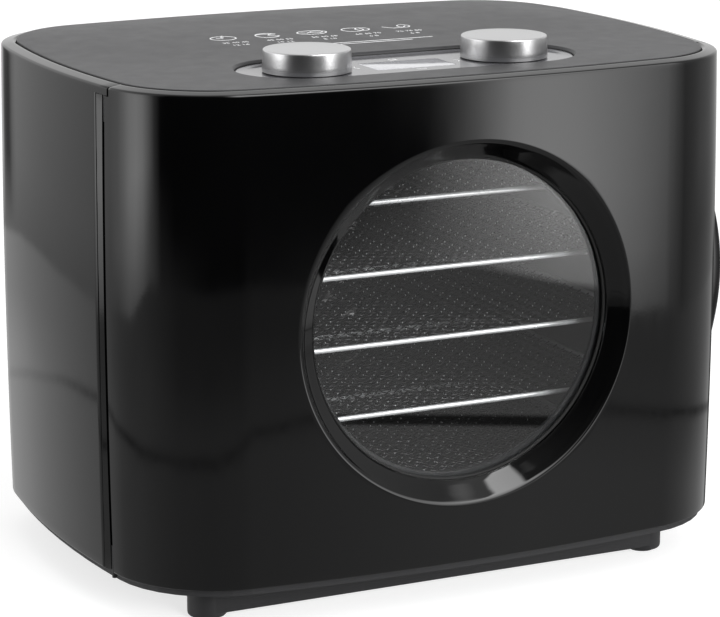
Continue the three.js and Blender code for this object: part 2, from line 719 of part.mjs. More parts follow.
// Fan shroud: a drum behind the grille, open at the back around the motor bridge.
function fanShroud() {
  const y0 = GRILLE_BACK_Y + SEAT;
  const y1 = y0 + SHROUD_DEPTH;
  const tube = turnedAlongY(
    [
      [SHROUD_RADIUS - SHROUD_WALL, y0],
      [SHROUD_RADIUS, y0],
      [SHROUD_RADIUS, y1],
      [SHROUD_RADIUS - SHROUD_WALL, y1],
    ],
    0,
    FAN_Z,
    40,
  );
  const bridge = (w, h) => upright(rectangle(0, FAN_Z, w, h), y1 - SHROUD_WALL, y1);
  const seat = drum(MOTOR_RADIUS, 0, FAN_Z, y1 - SHROUD_WALL, y1);
  const reach = 2 * SHROUD_RADIUS - SHROUD_WALL;
  const body = joined(tube, bridge(reach, 10), bridge(10, reach), seat);
  return cut(body, drum(MOTOR_BUSH_RADIUS + SEAT, 0, FAN_Z, y0, y1 + 1, 20));
}
piece("fan_shroud", fanShroud(), "matt");

const SHROUD_BACK_Y = GRILLE_BACK_Y + SEAT + SHROUD_DEPTH;
const FAN_BACK_Y = SHROUD_BACK_Y - SHROUD_WALL - 4;
const FAN_FRONT_Y = FAN_BACK_Y - FAN_DEPTH;
function fanMotor() {
  const can = drum(MOTOR_RADIUS, 0, FAN_Z, SHROUD_BACK_Y + SEAT, SHROUD_BACK_Y + SEAT + MOTOR_DEPTH, 28);
  const bush = drum(MOTOR_BUSH_RADIUS, 0, FAN_Z, SHROUD_BACK_Y - SHROUD_WALL - 2, SHROUD_BACK_Y + 1, 20);
  const bore = drum(SHAFT_RADIUS + RUN, 0, FAN_Z, FAN_BACK_Y, SHROUD_BACK_Y + 8, 16);
  return cut(joined(can, bush), bore);
}
piece("fan_motor", fanMotor(), "steel");

// Impeller: a hub with its shaft, and swept paddle blades.
function fanImpeller() {
  const hub = drum(HUB_RADIUS, 0, FAN_Z, FAN_FRONT_Y, FAN_BACK_Y, 24);
  const shaft = drum(SHAFT_RADIUS, 0, FAN_Z, FAN_BACK_Y - 1, SHROUD_BACK_Y + 7, 16);
  const plate = drum(FAN_RADIUS * 0.6, 0, FAN_Z, FAN_BACK_Y - BLADE_THICKNESS, FAN_BACK_Y, 28);
  const blades = Array.from({ length: FAN_BLADES }, (_, blade) => {
    const turn = (2 * Math.PI * blade) / FAN_BLADES;
    const steps = 5;
    const edge = (offset) =>
      Array.from({ length: steps + 1 }, (_, i) => {
        const share = i / steps;
        const radius = HUB_RADIUS - 2 + (FAN_RADIUS - HUB_RADIUS + 2) * share;
        const angle = turn - 0.5 * share ** 2 + offset / radius;
        return new THREE.Vector2(radius * Math.cos(angle), FAN_Z + radius * Math.sin(angle));
      });
    const outline = [...edge(-BLADE_THICKNESS / 2), ...edge(BLADE_THICKNESS / 2).reverse()];
    return upright(outline, FAN_FRONT_Y, FAN_BACK_Y);
  });
  return joined(hub, shaft, plate, ...blades);
}
piece("fan_impeller", fanImpeller(), "matt");

// Heating element: a sheathed ring around the impeller, on two clips.
function heatingElement() {
  const y = (FAN_FRONT_Y + FAN_BACK_Y) / 2;
  const section = circle(HEATER_TUBE, HEATER_RADIUS, y, 6).map((p) => [p.x, p.y]);
  return turnedAlongY(section, 0, FAN_Z, 32);
}
piece("heating_element", heatingElement(), "steel");
[-1, 1].forEach((side) => {
  const y = (FAN_FRONT_Y + FAN_BACK_Y) / 2;
  const inner = HEATER_RADIUS + HEATER_TUBE + SEAT;
  const outer = SHROUD_RADIUS - SHROUD_WALL - 2 * SEAT;
  const [x0, x1] = side < 0 ? [-outer, -inner] : [inner, outer];
  const half = CLIP_HALF_DEPTH;
  const clip = box(x0, x1, y - half, y + half, FAN_Z - half, FAN_Z + half);
  piece(side < 0 ? "heater_clip_left" : "heater_clip_right", clip, "steel");
});

// Rear vent: a louvred plate, bowed like the back, that lies behind the opening's edge.
function rearVent() {
  const [halfWidth, halfHeight] = [VENT_HALF_WIDTH + VENT_FRAME, VENT_HALF_HEIGHT + VENT_FRAME];
  const [low, high] = [FAN_Z - halfHeight, FAN_Z + halfHeight];
  const near = box(-halfWidth, halfWidth, 0, WIDE, low, high);
  const outer = shellCore(WALL + SEAT, SHELL_LOW, SHELL_TOP);
  const inner = shellCore(WALL + SEAT + VENT_PLATE, SHELL_LOW - 1, SHELL_TOP + 1);
  const pitch = (2 * halfHeight) / (VENT_SLOTS + 1);
  const slots = Array.from({ length: VENT_SLOTS }, (_, i) => {
    const z = low + pitch * (i + 1);
    return upright(rectangle(0, z, 2 * (VENT_HALF_WIDTH - VENT_FRAME), VENT_SLOT_HEIGHT), 0, WIDE);
  });
  return cut(outer.intersect(near), inner, ...slots);
}
piece("rear_vent", rearVent(), "matt");

// Power inlet: a shrouded three-pin socket in the cabinet's back.
function powerInlet() {
  const y1 = halfDepthAt(Math.abs(INLET_X) + INLET_WIDTH / 2);
  const y0 = y1 - INLET_DEPTH;
  const shell = upright(rectangle(INLET_X, INLET_Z, INLET_WIDTH, INLET_HEIGHT), y0, y1);
  const pocket = upright(rectangle(INLET_X, INLET_Z, INLET_WIDTH - 6, INLET_HEIGHT - 6), y0 + 5, y1 + 1);
  const pins = [-6, 0, 6].map((shift) =>
    upright(rectangle(INLET_X + shift, INLET_Z + (shift === 0 ? 3 : -2), 2, 4), y0 + 3, y1 - 5),
  );
  return joined(cut(shell, pocket), ...pins);
}
piece("power_inlet", powerInlet(), "matt");

// Base plate: the cabinet's floor, which also runs under the door.
function basePlate() {
  const plate = raised(planOutline(BASE_INSET), BASE_LOW, BASE_TOP);
  const lip = cut(
    raised(planOutline(BASE_LIP_INSET), BASE_LOW, BASE_TOP + BASE_LIP_HEIGHT),
    raised(planOutline(BASE_LIP_INSET + BASE_LIP_WALL), BASE_LOW - 1, TALL),
  ).intersect(box(-WIDE, WIDE, CABINET_EDGE_Y + BASE_LIP_START, WIDE, 0, TALL));
  const pinHole = post(PIN_RADIUS + SEAT, HINGE_X, HINGE_Y, BASE_LOW - 1, BASE_TOP + 1, 16);
  return cut(joined(plate, lip), pinHole);
}
piece("base_plate", basePlate(), "matt");

// Foot rails: a bar between two round feet, each with a rubber pad in its end.
function footRail(side) {
  const y = side * FOOT_Y;
  const top = BASE_LOW - SEAT;
  const feet = [-FOOT_X, FOOT_X].map((x) =>
    turned(
      [
        [0, PAD_PROUD],
        [FOOT_RADIUS - FOOT_ROUND, PAD_PROUD],
        [FOOT_RADIUS - FOOT_ROUND * 0.3, PAD_PROUD + FOOT_ROUND * 0.3],
        [FOOT_RADIUS, PAD_PROUD + FOOT_ROUND],
        [FOOT_RADIUS, top],
        [0, top],
      ],
      x,
      y,
      24,
    ),
  );
  const front = y + side * FOOT_RADIUS;
  const back = front - side * RAIL_THICKNESS;
  const bar = box(-FOOT_X, FOOT_X, Math.min(front, back), Math.max(front, back), RAIL_CLEAR, top);
  const pockets = [-FOOT_X, FOOT_X].map((x) => post(PAD_RADIUS + SEAT, x, y, 0, PAD_THICKNESS + SEAT, 20));
  return cut(joined(bar, ...feet), ...pockets);
}
piece("front_foot_rail", footRail(-1), "matt");
piece("rear_foot_rail", footRail(1), "matt");
[["front_left", -1, -1], ["front_right", 1, -1], ["rear_left", -1, 1], ["rear_right", 1, 1]].forEach(
  ([place, sideX, sideY]) => {
    const pad = post(PAD_RADIUS, sideX * FOOT_X, sideY * FOOT_Y, 0, PAD_THICKNESS, 20);
    piece(`foot_pad_${place}`, pad, "rubber");
  },
);

// Control housing: the shallow box over the chamber that carries the electronics.
const PANEL_LOW = RIM_TOP - PANEL_THICKNESS;
const ENCODER_TOP = PANEL_LOW - SEAT;
const BOARD_TOP = ENCODER_TOP - ENCODER_HEIGHT - SEAT;
const BOARD_LOW = BOARD_TOP - BOARD_THICKNESS;
const LENS_LOW = INLAY_TOP - LENS_THICKNESS;
const knobX = (side) => CONTROL_X + (side * KNOB_SPACING) / 2;
function controlHousing() {
  const outer = raised(planOutline(HOUSING_INSET), HOUSING_LOW, PANEL_LOW - SEAT);
  const inner = raised(planOutline(HOUSING_INSET + HOUSING_WALL), HOUSING_LOW + HOUSING_WALL, RIM_TOP);
  const posts = [-1, 1].flatMap((sideX) =>
    [-1, 1].map((sideY) =>
      post(
        HOUSING_POST_RADIUS,
        CONTROL_X + sideX * (BOARD_WIDTH / 2 - HOUSING_POST_RADIUS),
        CONTROL_Y + sideY * (BOARD_DEPTH / 2 - HOUSING_POST_RADIUS),
        HOUSING_LOW + HOUSING_WALL - 0.5,
        BOARD_LOW - SEAT,
        12,
      ),
    ),
  );
  return joined(cut(outer, inner), ...posts);
}
piece("control_housing", controlHousing(), "matt");

// Top panel: crowned behind the controls, with a chamfered recess for the control inlay.
function topPanel() {
  const inset = RIM_WIDTH + GAP;
  const rise = (y, from, to) => THREE.MathUtils.smoothstep(y, from, to);
  const backY = BACK_Y - inset;
  const level = (step, share) =>
    planOutline(inset + step).map((p) => {
      const crown = PANEL_CROWN * share * rise(p.y, CONTROL_Y + INLAY_HALF_WIDTH, backY / 2);
      const lift = PANEL_BACK_LIFT * rise(p.y, backY / 2, backY);
      return new THREE.Vector3(p.x, p.y, RIM_TOP + crown + lift);
    });
  const inner = CORNER_RADIUS - inset;
  const block = loft([
    ring(inset, PANEL_LOW),
    level(0, 0),
    level(inner * 0.3, 0.5),
    level(inner * 0.6, 0.85),
    level(inner * 0.9, 1),
  ]);
  const flare = INLAY_CHAMFER * 2;
  const edge = (grow, z) =>
    stadium(CONTROL_X, CONTROL_Y, INLAY_HALF_LENGTH + grow, INLAY_HALF_WIDTH + grow).map(
      (p) => new THREE.Vector3(p.x, p.y, z),
    );
  const chamferLow = RIM_TOP - INLAY_CHAMFER;
  const recess = loft([
    edge(SEAT, INLAY_TOP - INLAY_THICKNESS - SEAT),
    edge(SEAT, chamferLow),
    edge(SEAT + flare, chamferLow + flare),
    edge(SEAT + flare, RIM_TOP + 20),
  ]);
  const bushHoles = [-1, 1].map((side) =>
    post(BUSH_RADIUS + SEAT, knobX(side), CONTROL_Y, PANEL_LOW - 1, RIM_TOP, 20),
  );
  return cut(block, recess, lensHole(PANEL_LOW - 1, RIM_TOP), ...bushHoles);
}
function lensHole(z0, z1) {
  return raised(rectangle(CONTROL_X, CONTROL_Y, LENS_WIDTH + 2 * SEAT, LENS_DEPTH + 2 * SEAT), z0, z1);
}
piece("top_panel", topPanel(), "satin");

// Control inlay, display and its module.
function controlInlay() {
  const outline = stadium(CONTROL_X, CONTROL_Y, INLAY_HALF_LENGTH, INLAY_HALF_WIDTH);
  const plate = raised(outline, INLAY_TOP - INLAY_THICKNESS, INLAY_TOP);
  const holes = [-1, 1].map((side) =>
    post(BUSH_RADIUS + SEAT, knobX(side), CONTROL_Y, PANEL_LOW - 1, RIM_TOP, 20),
  );
  return cut(plate, lensHole(PANEL_LOW - 1, RIM_TOP), ...holes);
}
piece("control_inlay", controlInlay(), "inlay");
piece(
  "display_lens",
  raised(rectangle(CONTROL_X, CONTROL_Y, LENS_WIDTH, LENS_DEPTH), LENS_LOW, INLAY_TOP),
  "display",
);
piece(
  "display_module",
  raised(rectangle(CONTROL_X, CONTROL_Y, LENS_WIDTH, LENS_DEPTH), BOARD_TOP + SEAT, LENS_LOW - SEAT),
  "matt",
);
piece(
  "control_board",
  raised(rectangle(CONTROL_X, CONTROL_Y, BOARD_WIDTH, BOARD_DEPTH), BOARD_LOW, BOARD_TOP),
  "board",
);

// Knobs: a spun cap over a rotary encoder, turning with the encoder's shaft.
const KNOB_LOW = INLAY_TOP + KNOB_LIFT;
const KNOB_TOP = KNOB_LOW + KNOB_HEIGHT;
const SHAFT_TOP = KNOB_TOP - KNOB_CROWN - SEAT;
function encoderBody(x) {
  const low = ENCODER_TOP - ENCODER_HEIGHT;
  const can = raised(rectangle(x, CONTROL_Y, ENCODER_SIZE, ENCODER_SIZE), low, ENCODER_TOP);
  const bush = post(BUSH_RADIUS, x, CONTROL_Y, ENCODER_TOP - 1, INLAY_TOP, 20);
  const bore = post(ENCODER_SHAFT_RADIUS + RUN, x, CONTROL_Y, low + 1, RIM_TOP, 20);
  return cut(joined(can, bush), bore);
}
function encoderShaft(x) {
  return post(ENCODER_SHAFT_RADIUS, x, CONTROL_Y, ENCODER_TOP - ENCODER_HEIGHT + 1 + SEAT, SHAFT_TOP, 20);
}
function knob(x) {
  const bore = ENCODER_SHAFT_RADIUS + SEAT;
  const hollow = KNOB_RADIUS - KNOB_WALL;
  const roof = KNOB_TOP - KNOB_CROWN;
  return turned(
    [
      [0, KNOB_TOP],
      [0, roof],
      [bore, roof],
      [bore, KNOB_LOW + KNOB_LIFT],
      [bore + KNOB_WALL, KNOB_LOW + KNOB_LIFT],
      [bore + KNOB_WALL, roof - 1],
      [hollow, roof - 1],
      [hollow, KNOB_LOW],
      [KNOB_RADIUS, KNOB_LOW],
      [KNOB_TOP_RADIUS, KNOB_TOP - KNOB_CHAMFER],
      [KNOB_TOP_RADIUS - KNOB_CHAMFER, KNOB_TOP],
    ],
    x,
    CONTROL_Y,
    32,
  );
}
[["left", -1], ["right", 1]].forEach(([place, side]) => {
  piece(`encoder_body_${place}`, encoderBody(knobX(side)), "steel");
  piece(`encoder_shaft_${place}`, encoderShaft(knobX(side)), "steel");
  piece(`knob_${place}`, knob(knobX(side)), "aluminium");
});

// Door shell: the wrap-round front with its round, coned window and its hinge column.
const SOCKET_Y = SIGHT_Y + SIGHT_LIP;
const GASKET_Y = SOCKET_Y + SEAT;
const GLASS_Y = GASKET_Y + GASKET_THICKNESS + SEAT;
const DOOR_LINER_Y = GLASS_Y + GLASS_THICKNESS + SEAT;
const GLASS_RADIUS = WINDOW_SIGHT_RADIUS + GLASS_REST;
const COLUMN_TOP = RIM_UNDER - GAP;

/** The coned recess that leads from the bowed front down to the sight edge. */
function windowCone() {
  const rings = [
    [WINDOW_SIGHT_RADIUS, 0, SOCKET_Y + 1],
    [WINDOW_SIGHT_RADIUS, 0, SIGHT_Y],
    [WINDOW_RADIUS, 1, 0],
    [WINDOW_RADIUS + 1, 1, -10],
  ].map(([radius, onFront, y]) =>
    circle(radius, 0, 0, WINDOW_STEPS).map((p) => {
      const frontY = -halfDepthAt(p.x) - bellyAt(WINDOW_Z + p.y);
      return new THREE.Vector3(p.x, p.y, -(onFront * frontY + y));
    }),
  );
  const geometry = loftGeometry(rings);
  geometry.rotateX(Math.PI / 2);
  geometry.translate(0, 0, WINDOW_Z);
  return solid(geometry);
}

/** The box of the magnet's boss, grown by a margin, open at the seam. */
function magnetBox(margin, back) {
  const [halfWidth, halfHeight] = [MAGNET_WIDTH / 2 + margin, MAGNET_HEIGHT / 2 + margin];
  const y0 = DOOR_EDGE_Y - MAGNET_DEPTH - margin;
  const [z0, z1] = [MAGNET_Z - halfHeight, MAGNET_Z + halfHeight];
  return box(CATCH_X - halfWidth, CATCH_X + halfWidth, y0, DOOR_EDGE_Y + back, z0, z1);
}

/** The boss's bridge to the door's side wall. */
function bossBridge(margin) {
  const halfHeight = MAGNET_HEIGHT / 2 + BOSS_WALL + margin;
  const y0 = DOOR_EDGE_Y - MAGNET_DEPTH - BOSS_WALL - margin;
  const x1 = halfWidthAt(DOOR_EDGE_Y) - WALL / 2;
  return box(CATCH_X, x1, y0, DOOR_EDGE_Y, MAGNET_Z - halfHeight, MAGNET_Z + halfHeight);
}

function doorShell() {
  const seamCut = box(-WIDE, WIDE, DOOR_EDGE_Y, WIDE, -TALL, 2 * TALL);
  const rimCut = box(-WIDE, WIDE, HINGE_Y - RIM_SEAM, WIDE, COLUMN_TOP, 2 * TALL);
  const tubeRadius = WINDOW_RADIUS + WINDOW_TUBE_WALL;
  const tubeEnd = DOOR_LINER_Y - SEAT;
  const tube = drum(tubeRadius, 0, WINDOW_Z, -WIDE, tubeEnd, WINDOW_STEPS).intersect(SHELL);
  const column = post(COLUMN_RADIUS, HINGE_X, HINGE_Y, SHELL_LOW, COLUMN_TOP, 40).intersect(SHELL);
  const webX = HINGE_X - COLUMN_SETBACK;
  const webEdge = DOOR_EDGE_Y - WALL;
  const web = box(webX, webX + WALL, webEdge, HINGE_Y, SHELL_LOW, COLUMN_TOP).intersect(SHELL);
  const boss = joined(magnetBox(BOSS_WALL, 0), bossBridge(0));
  const body = joined(cut(HOLLOW, seamCut, rimCut), tube, column, web, boss);
  const socket = drum(GLASS_RADIUS + SEAT, 0, WINDOW_Z, SOCKET_Y, tubeEnd + 1, WINDOW_STEPS);
  const boreRadius = PIN_RADIUS + RUN;
  const lowBore = post(boreRadius, HINGE_X, HINGE_Y, SHELL_LOW - 1, SHELL_LOW + PIN_LENGTH, 16);
  const highBore = post(boreRadius, HINGE_X, HINGE_Y, COLUMN_TOP - PIN_LENGTH, COLUMN_TOP + 1, 16);
  return cut(body, windowCone(), socket, lowBore, highBore, magnetBox(SEAT, 1));
}
piece("door_shell", doorShell(), "gloss");
piece(
  "door_magnet",
  magnetBox(0, 0),
  "steel",
);

// Window: a gasket and a pane, clamped in the door's socket by the door liner.
piece(
  "window_gasket",
  turnedAlongY(
    [
      [WINDOW_SIGHT_RADIUS - GASKET_SIGHT, GASKET_Y],
      [GLASS_RADIUS, GASKET_Y],
      [GLASS_RADIUS, GASKET_Y + GASKET_THICKNESS],
      [WINDOW_SIGHT_RADIUS - GASKET_SIGHT, GASKET_Y + GASKET_THICKNESS],
    ],
    0,
    WINDOW_Z,
    48,
  ),
  "rubber",
);
piece("window_glass", drum(GLASS_RADIUS, 0, WINDOW_Z, GLASS_Y, GLASS_Y + GLASS_THICKNESS, 48), "glass");

// Door liner: the inner skin behind the window, with sides that line the door's walls.
function doorLiner() {
  const z0 = SHELL_LOW + LINER_MARGIN;
  const z1 = HOUSING_LOW - LINER_MARGIN;
  const y1 = HINGE_Y - RIM_SEAM;
  const room = box(-WIDE, WIDE, DOOR_LINER_Y, y1, z0, z1);
  const block = shellCore(WALL + SEAT, z0, z1).intersect(room);
  const hollow = shellCore(WALL + SEAT + DOOR_LINER_WALL, z0 - 1, z1 + 1).intersect(
    box(-WIDE, WIDE, DOOR_LINER_Y + DOOR_LINER_WALL, WIDE, 0, 2 * TALL),
  );
  const sight = drum(WINDOW_SIGHT_RADIUS - GASKET_SIGHT, 0, WINDOW_Z, -WIDE, WIDE, 48);
  return cut(block, hollow, sight, magnetBox(BOSS_WALL + SEAT, 1), bossBridge(SEAT));
}
piece("door_liner", doorLiner(), "matt");

// Door pull: a crescent lip on the door's free edge.
function doorPull() {
  const y1 = DOOR_EDGE_Y - PULL_SETBACK;
  const y0 = y1 - PULL_THICKNESS;
  const surface = halfWidthAt((y0 + y1) / 2);
  const steps = 14;
  const arc = Array.from({ length: steps + 1 }, (_, i) => {
    const t = (2 * i) / steps - 1;
    const reach = (PULL_REACH + PULL_ROOT) * (1 - t ** 2) - PULL_ROOT;
    return new THREE.Vector2(surface + reach, SHELL_MID + (t * PULL_HEIGHT) / 2);
  });
  const back = new THREE.Vector2(surface - PULL_ROOT - 1, SHELL_MID);
  const crescent = upright([...arc, back], y0, y1);
  return cut(crescent, shellCore(-SEAT, 1, 2 * TALL));
}
piece("door_pull", doorPull(), "gloss");

// Hinge pins: the lower one stands in the base plate, the upper one hangs from the rim.
piece(
  "hinge_pin_lower",
  post(PIN_RADIUS, HINGE_X, HINGE_Y, BASE_LOW, SHELL_LOW + PIN_LENGTH - SEAT, 16),
  "steel",
);
piece(
  "hinge_pin_upper",
  post(PIN_RADIUS, HINGE_X, HINGE_Y, COLUMN_TOP - PIN_LENGTH + SEAT, RIM_UNDER + 2 - SEAT, 16),
  "steel",
);

// The origin lies on the floor, under the middle of the whole with its door pull.
const middle = new THREE.Box3().setFromObject(dehydrator).getCenter(new THREE.Vector3());
dehydrator.position.set(-middle.x, -middle.y, 0);

export default dehydrator;
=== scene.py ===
"""Food dehydrator: the finished surfaces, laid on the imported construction."""
import logging
import math
from dataclasses import dataclass
from enum import Enum
from operator import itemgetter
from typing import Any, Callable, Sequence

import bmesh
import bpy
import numpy as np
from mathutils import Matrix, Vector


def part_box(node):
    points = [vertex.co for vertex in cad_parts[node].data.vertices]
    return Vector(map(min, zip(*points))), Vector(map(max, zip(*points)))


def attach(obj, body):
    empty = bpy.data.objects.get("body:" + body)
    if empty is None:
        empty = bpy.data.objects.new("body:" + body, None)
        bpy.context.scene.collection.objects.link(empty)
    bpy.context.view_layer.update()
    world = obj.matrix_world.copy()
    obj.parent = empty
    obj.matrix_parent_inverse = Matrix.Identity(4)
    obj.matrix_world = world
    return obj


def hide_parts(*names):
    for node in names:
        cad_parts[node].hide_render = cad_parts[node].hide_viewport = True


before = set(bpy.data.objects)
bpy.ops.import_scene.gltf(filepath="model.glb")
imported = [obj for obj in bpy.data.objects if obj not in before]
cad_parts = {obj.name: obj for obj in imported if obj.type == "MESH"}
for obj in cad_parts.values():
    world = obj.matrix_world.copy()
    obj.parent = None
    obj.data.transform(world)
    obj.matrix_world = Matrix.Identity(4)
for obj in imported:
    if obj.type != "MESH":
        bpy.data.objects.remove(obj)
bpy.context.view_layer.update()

log = logging.getLogger("dehydrator")
Array = np.ndarray
Stops = list[tuple[float, float]]
Number = Any  # in a shader sum: a float or a Sock

MM = 0.001  # metres
MERGE_REACH = 2e-6  # metres, for points that are one
SLIVER = 1e-7  # metres, for edges of no length
STEEP = 0.9  # a path's rise, as a share of its length, past which its rings take another up
STADIUM_END_POINTS = 160
STADIUM_SIDE_POINTS = 60
EDGE_POINTS = 5
TRAYS = 5


def origin() -> Array:
    """The middle of the shell's plan at floor level, in metres."""
    low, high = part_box("top_panel")
    return np.array([(low.x + high.x) / 2, (low.y + high.y) / 2, 0.0])


ORIGIN = origin()


def extent(node: str) -> tuple[Array, Array]:
    """A node's lowest and highest corners, in millimetres from the origin."""
    low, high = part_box(node)
    return (np.array(low) - ORIGIN) / MM, (np.array(high) - ORIGIN) / MM


# ------------------------------------------------------------------ shader maths


class Sock:
    """A shader socket that takes part in sums: every operator adds one Math node."""

    def __init__(self, tree: "Tree", socket: bpy.types.NodeSocket) -> None:
        """Wraps a socket.

        Args:
            tree: the node tree that the socket belongs to.
            socket: an output socket.
        """
        self.tree = tree
        self.socket = socket

    def math(self, operation: str, *values: Number) -> "Sock":
        """Applies one Math node to this socket and the values, in order."""
        inputs = {i: v for i, v in enumerate((self, *values))}
        return self.tree.node("ShaderNodeMath", {"operation": operation}, inputs).out()

    def flip(self, operation: str, value: Number) -> "Sock":
        """Applies one Math node with this socket as its second input."""
        inputs = {0: value, 1: self}
        return self.tree.node("ShaderNodeMath", {"operation": operation}, inputs).out()

    def __add__(self, other: Number) -> "Sock":
        """Sum."""
        return self.math("ADD", other)

    __radd__ = __add__

    def __sub__(self, other: Number) -> "Sock":
        """Difference."""
        return self.math("SUBTRACT", other)

    def __rsub__(self, other: Number) -> "Sock":
        """Difference from a number."""
        return self.flip("SUBTRACT", other)

    def __mul__(self, other: Number) -> "Sock":
        """Product."""
        return self.math("MULTIPLY", other)

    __rmul__ = __mul__

    def __truediv__(self, other: Number) -> "Sock":
        """Quotient."""
        return self.math("DIVIDE", other)

    def __rtruediv__(self, other: Number) -> "Sock":
        """A number over this socket."""
        return self.flip("DIVIDE", other)

    def __neg__(self) -> "Sock":
        """Opposite."""
        return self.math("MULTIPLY", -1.0)

    def band(self, low: float, high: float) -> "Sock":
        """A smooth 0 to 1 rise between two values of this socket.

        Args:
            low: the value at which the rise starts.
            high: the value at which it ends.

        Returns:
            The rise.
        """
        settings = {"interpolation_type": "SMOOTHSTEP"}
        inputs = {"Value": self, "From Min": low, "From Max": high}
        return self.tree.node("ShaderNodeMapRange", settings, inputs).out()

    def ramp(self, stops: Sequence[tuple[float, float]], scale: float = 1.0) -> "Sock":
        """A curve through (place, value) stops, read at this socket.

        Args:
            stops: rising places from 0 to 1, each with the value there.
            scale: the largest value, which the ramp is normalised by.

        Returns:
            The value at this socket's place.
        """
        colours = [(place, (value / scale,) * 3) for place, value in stops]
        node = self.tree.node("ShaderNodeValToRGB", {"stops": colours}, {"Fac": self})
        return node.out("Color") * scale


class Node:
    """One node of a tree, with its outputs as Socks."""

    def __init__(self, tree: "Tree", node: bpy.types.Node) -> None:
        """Wraps a node."""
        self.tree = tree
        self.node = node

    def out(self, name: str | int = 0) -> Sock:
        """An output by name or number."""
        return Sock(self.tree, self.node.outputs[name])


class Tree:
    """The node tree of one material or of the world."""

    def __init__(self, tree: bpy.types.NodeTree) -> None:
        """Empties a tree and wraps it."""
        self.tree = tree
        tree.nodes.clear()

    def node(
        self,
        kind: str,
        settings: dict[str, Any] | None = None,
        inputs: dict[str | int, Any] | None = None,
    ) -> Node:
        """Adds a node.

        Args:
            kind: the node's type.
            settings: its properties; "stops" fills a colour ramp.
            inputs: values, or Socks to link, by socket name or number.

        Returns:
            The new node.
        """
        node = self.tree.nodes.new(kind)
        for name, value in (settings or {}).items():
            if name == "stops":
                self._fill_ramp(node.color_ramp, value)
            else:
                setattr(node, name, value)
        for name, value in (inputs or {}).items():
            target = node.inputs[name]
            if isinstance(value, Sock):
                self.tree.links.new(value.socket, target)
            elif isinstance(value, tuple) and len(value) == 3 and len(target.default_value) == 4:
                target.default_value = (*value, 1.0)
            else:
                target.default_value = value
        return Node(self, node)

    @staticmethod
    def _fill_ramp(ramp: bpy.types.ColorRamp, stops: Sequence[tuple[float, tuple]]) -> None:
        """Sets a colour ramp's stops.

        Args:
            ramp: the ramp.
            stops: rising places from 0 to 1, each with the colour there.
        """
        while len(ramp.elements) > 1:
            ramp.elements.remove(ramp.elements[-1])
        for index, (place, colour) in enumerate(stops):
            element = ramp.elements[0] if index == 0 else ramp.elements.new(place)
            element.position = place
            element.color = (*colour, 1.0)

    def place(self) -> Sock:
        """Object coordinates, in metres."""
        return self.node("ShaderNodeTexCoord").out("Object")

    def axes(self, vector: Sock) -> tuple[Sock, Sock, Sock]:
        """A vector's three parts."""
        node = self.node("ShaderNodeSeparateXYZ", None, {0: vector})
        return node.out(0), node.out(1), node.out(2)

    def noise(self, vector: Sock, scale: float, detail: float = 3.0) -> Sock:
        """A cloudy 0 to 1 pattern with features about 1 / scale metres wide."""
        inputs = {"Vector": vector, "Scale": scale, "Detail": detail}
        return self.node("ShaderNodeTexNoise", None, inputs).out(0)

    def stretched(self, vector: Sock, scale: tuple[float, float, float]) -> Sock:
        """A vector scaled along each axis, for grain that runs one way."""
        settings = {"vector_type": "POINT"}
        return self.node("ShaderNodeMapping", settings, {"Vector": vector, "Scale": scale}).out()

    def blend(self, share: Sock | float, first: Any, second: Any) -> Sock:
        """A colour between two colours, by share."""
        inputs = {0: share, 6: first, 7: second}
        return self.node("ShaderNodeMix", {"data_type": "RGBA"}, inputs).out(2)

    def bump(self, height: Sock, depth: float) -> Sock:
        """A normal from a height of 0 to 1 over a depth in metres."""
        inputs = {"Height": height, "Distance": depth}
        return self.node("ShaderNodeBump", None, inputs).out()


_materials: dict[str, bpy.types.Material] = {}


@dataclass(frozen=True)
class Finish:
    """A surface finish: a plain coat whose subclasses add their own detail.

    Colour and roughness drift with a slow cloud, and a fine grain bumps the face.
    The colour runs from darker to lighter times its own, and the roughness over
    rough_spread, from rough_drop below its own. Scales count features in a metre, and
    depths are in metres.
    """

    name: str
    colour: tuple[float, float, float]
    roughness: float
    metallic: float = 0.0
    ior: float = 1.5
    darker: float = 0.88
    lighter: float = 1.1
    rough_spread: float = 0.12
    rough_drop: float = 0.06
    cloud_scale: float = 90.0
    grain_scale: float = 1800.0
    grain_depth: float = 0.00006

    def shade(self, factor: float) -> tuple[float, ...]:
        """The colour made darker or lighter by a factor."""
        return tuple(min(1.0, part * factor) for part in self.colour)

    def rough(self, pattern: Sock) -> Sock:
        """The roughness as a 0 to 1 pattern varies it."""
        return pattern * self.rough_spread + (self.roughness - self.rough_drop)

    def dress(self, tree: Tree) -> dict[str, Any]:
        """The plain coat: a clouded colour and roughness, and a grained face.

        Args:
            tree: the material's tree.

        Returns:
            Shader inputs by socket name.
        """
        place = tree.place()
        cloud = tree.noise(place, self.cloud_scale, 4.0)
        grain = tree.noise(place, self.grain_scale, 2.0)
        return {
            "Base Color": tree.blend(cloud, self.shade(self.darker), self.shade(self.lighter)),
            "Roughness": self.rough(cloud),
            "Normal": tree.bump(grain, self.grain_depth),
        }

    def material(self) -> bpy.types.Material:
        """Makes the material the first time that it is asked for.

        Returns:
            The finished material.
        """
        if self.name not in _materials:
            made = bpy.data.materials.new(self.name)
            made.use_nodes = True
            tree = Tree(made.node_tree)
            inputs = {"Metallic": self.metallic, "IOR": self.ior, **self.dress(tree)}
            self.close(tree, tree.node("ShaderNodeBsdfPrincipled", None, inputs))
            _materials[self.name] = made
        return _materials[self.name]

    def close(self, tree: Tree, shader: Node) -> None:
        """Links the shader to the output."""
        tree.node("ShaderNodeOutputMaterial", None, {"Surface": shader.out()})


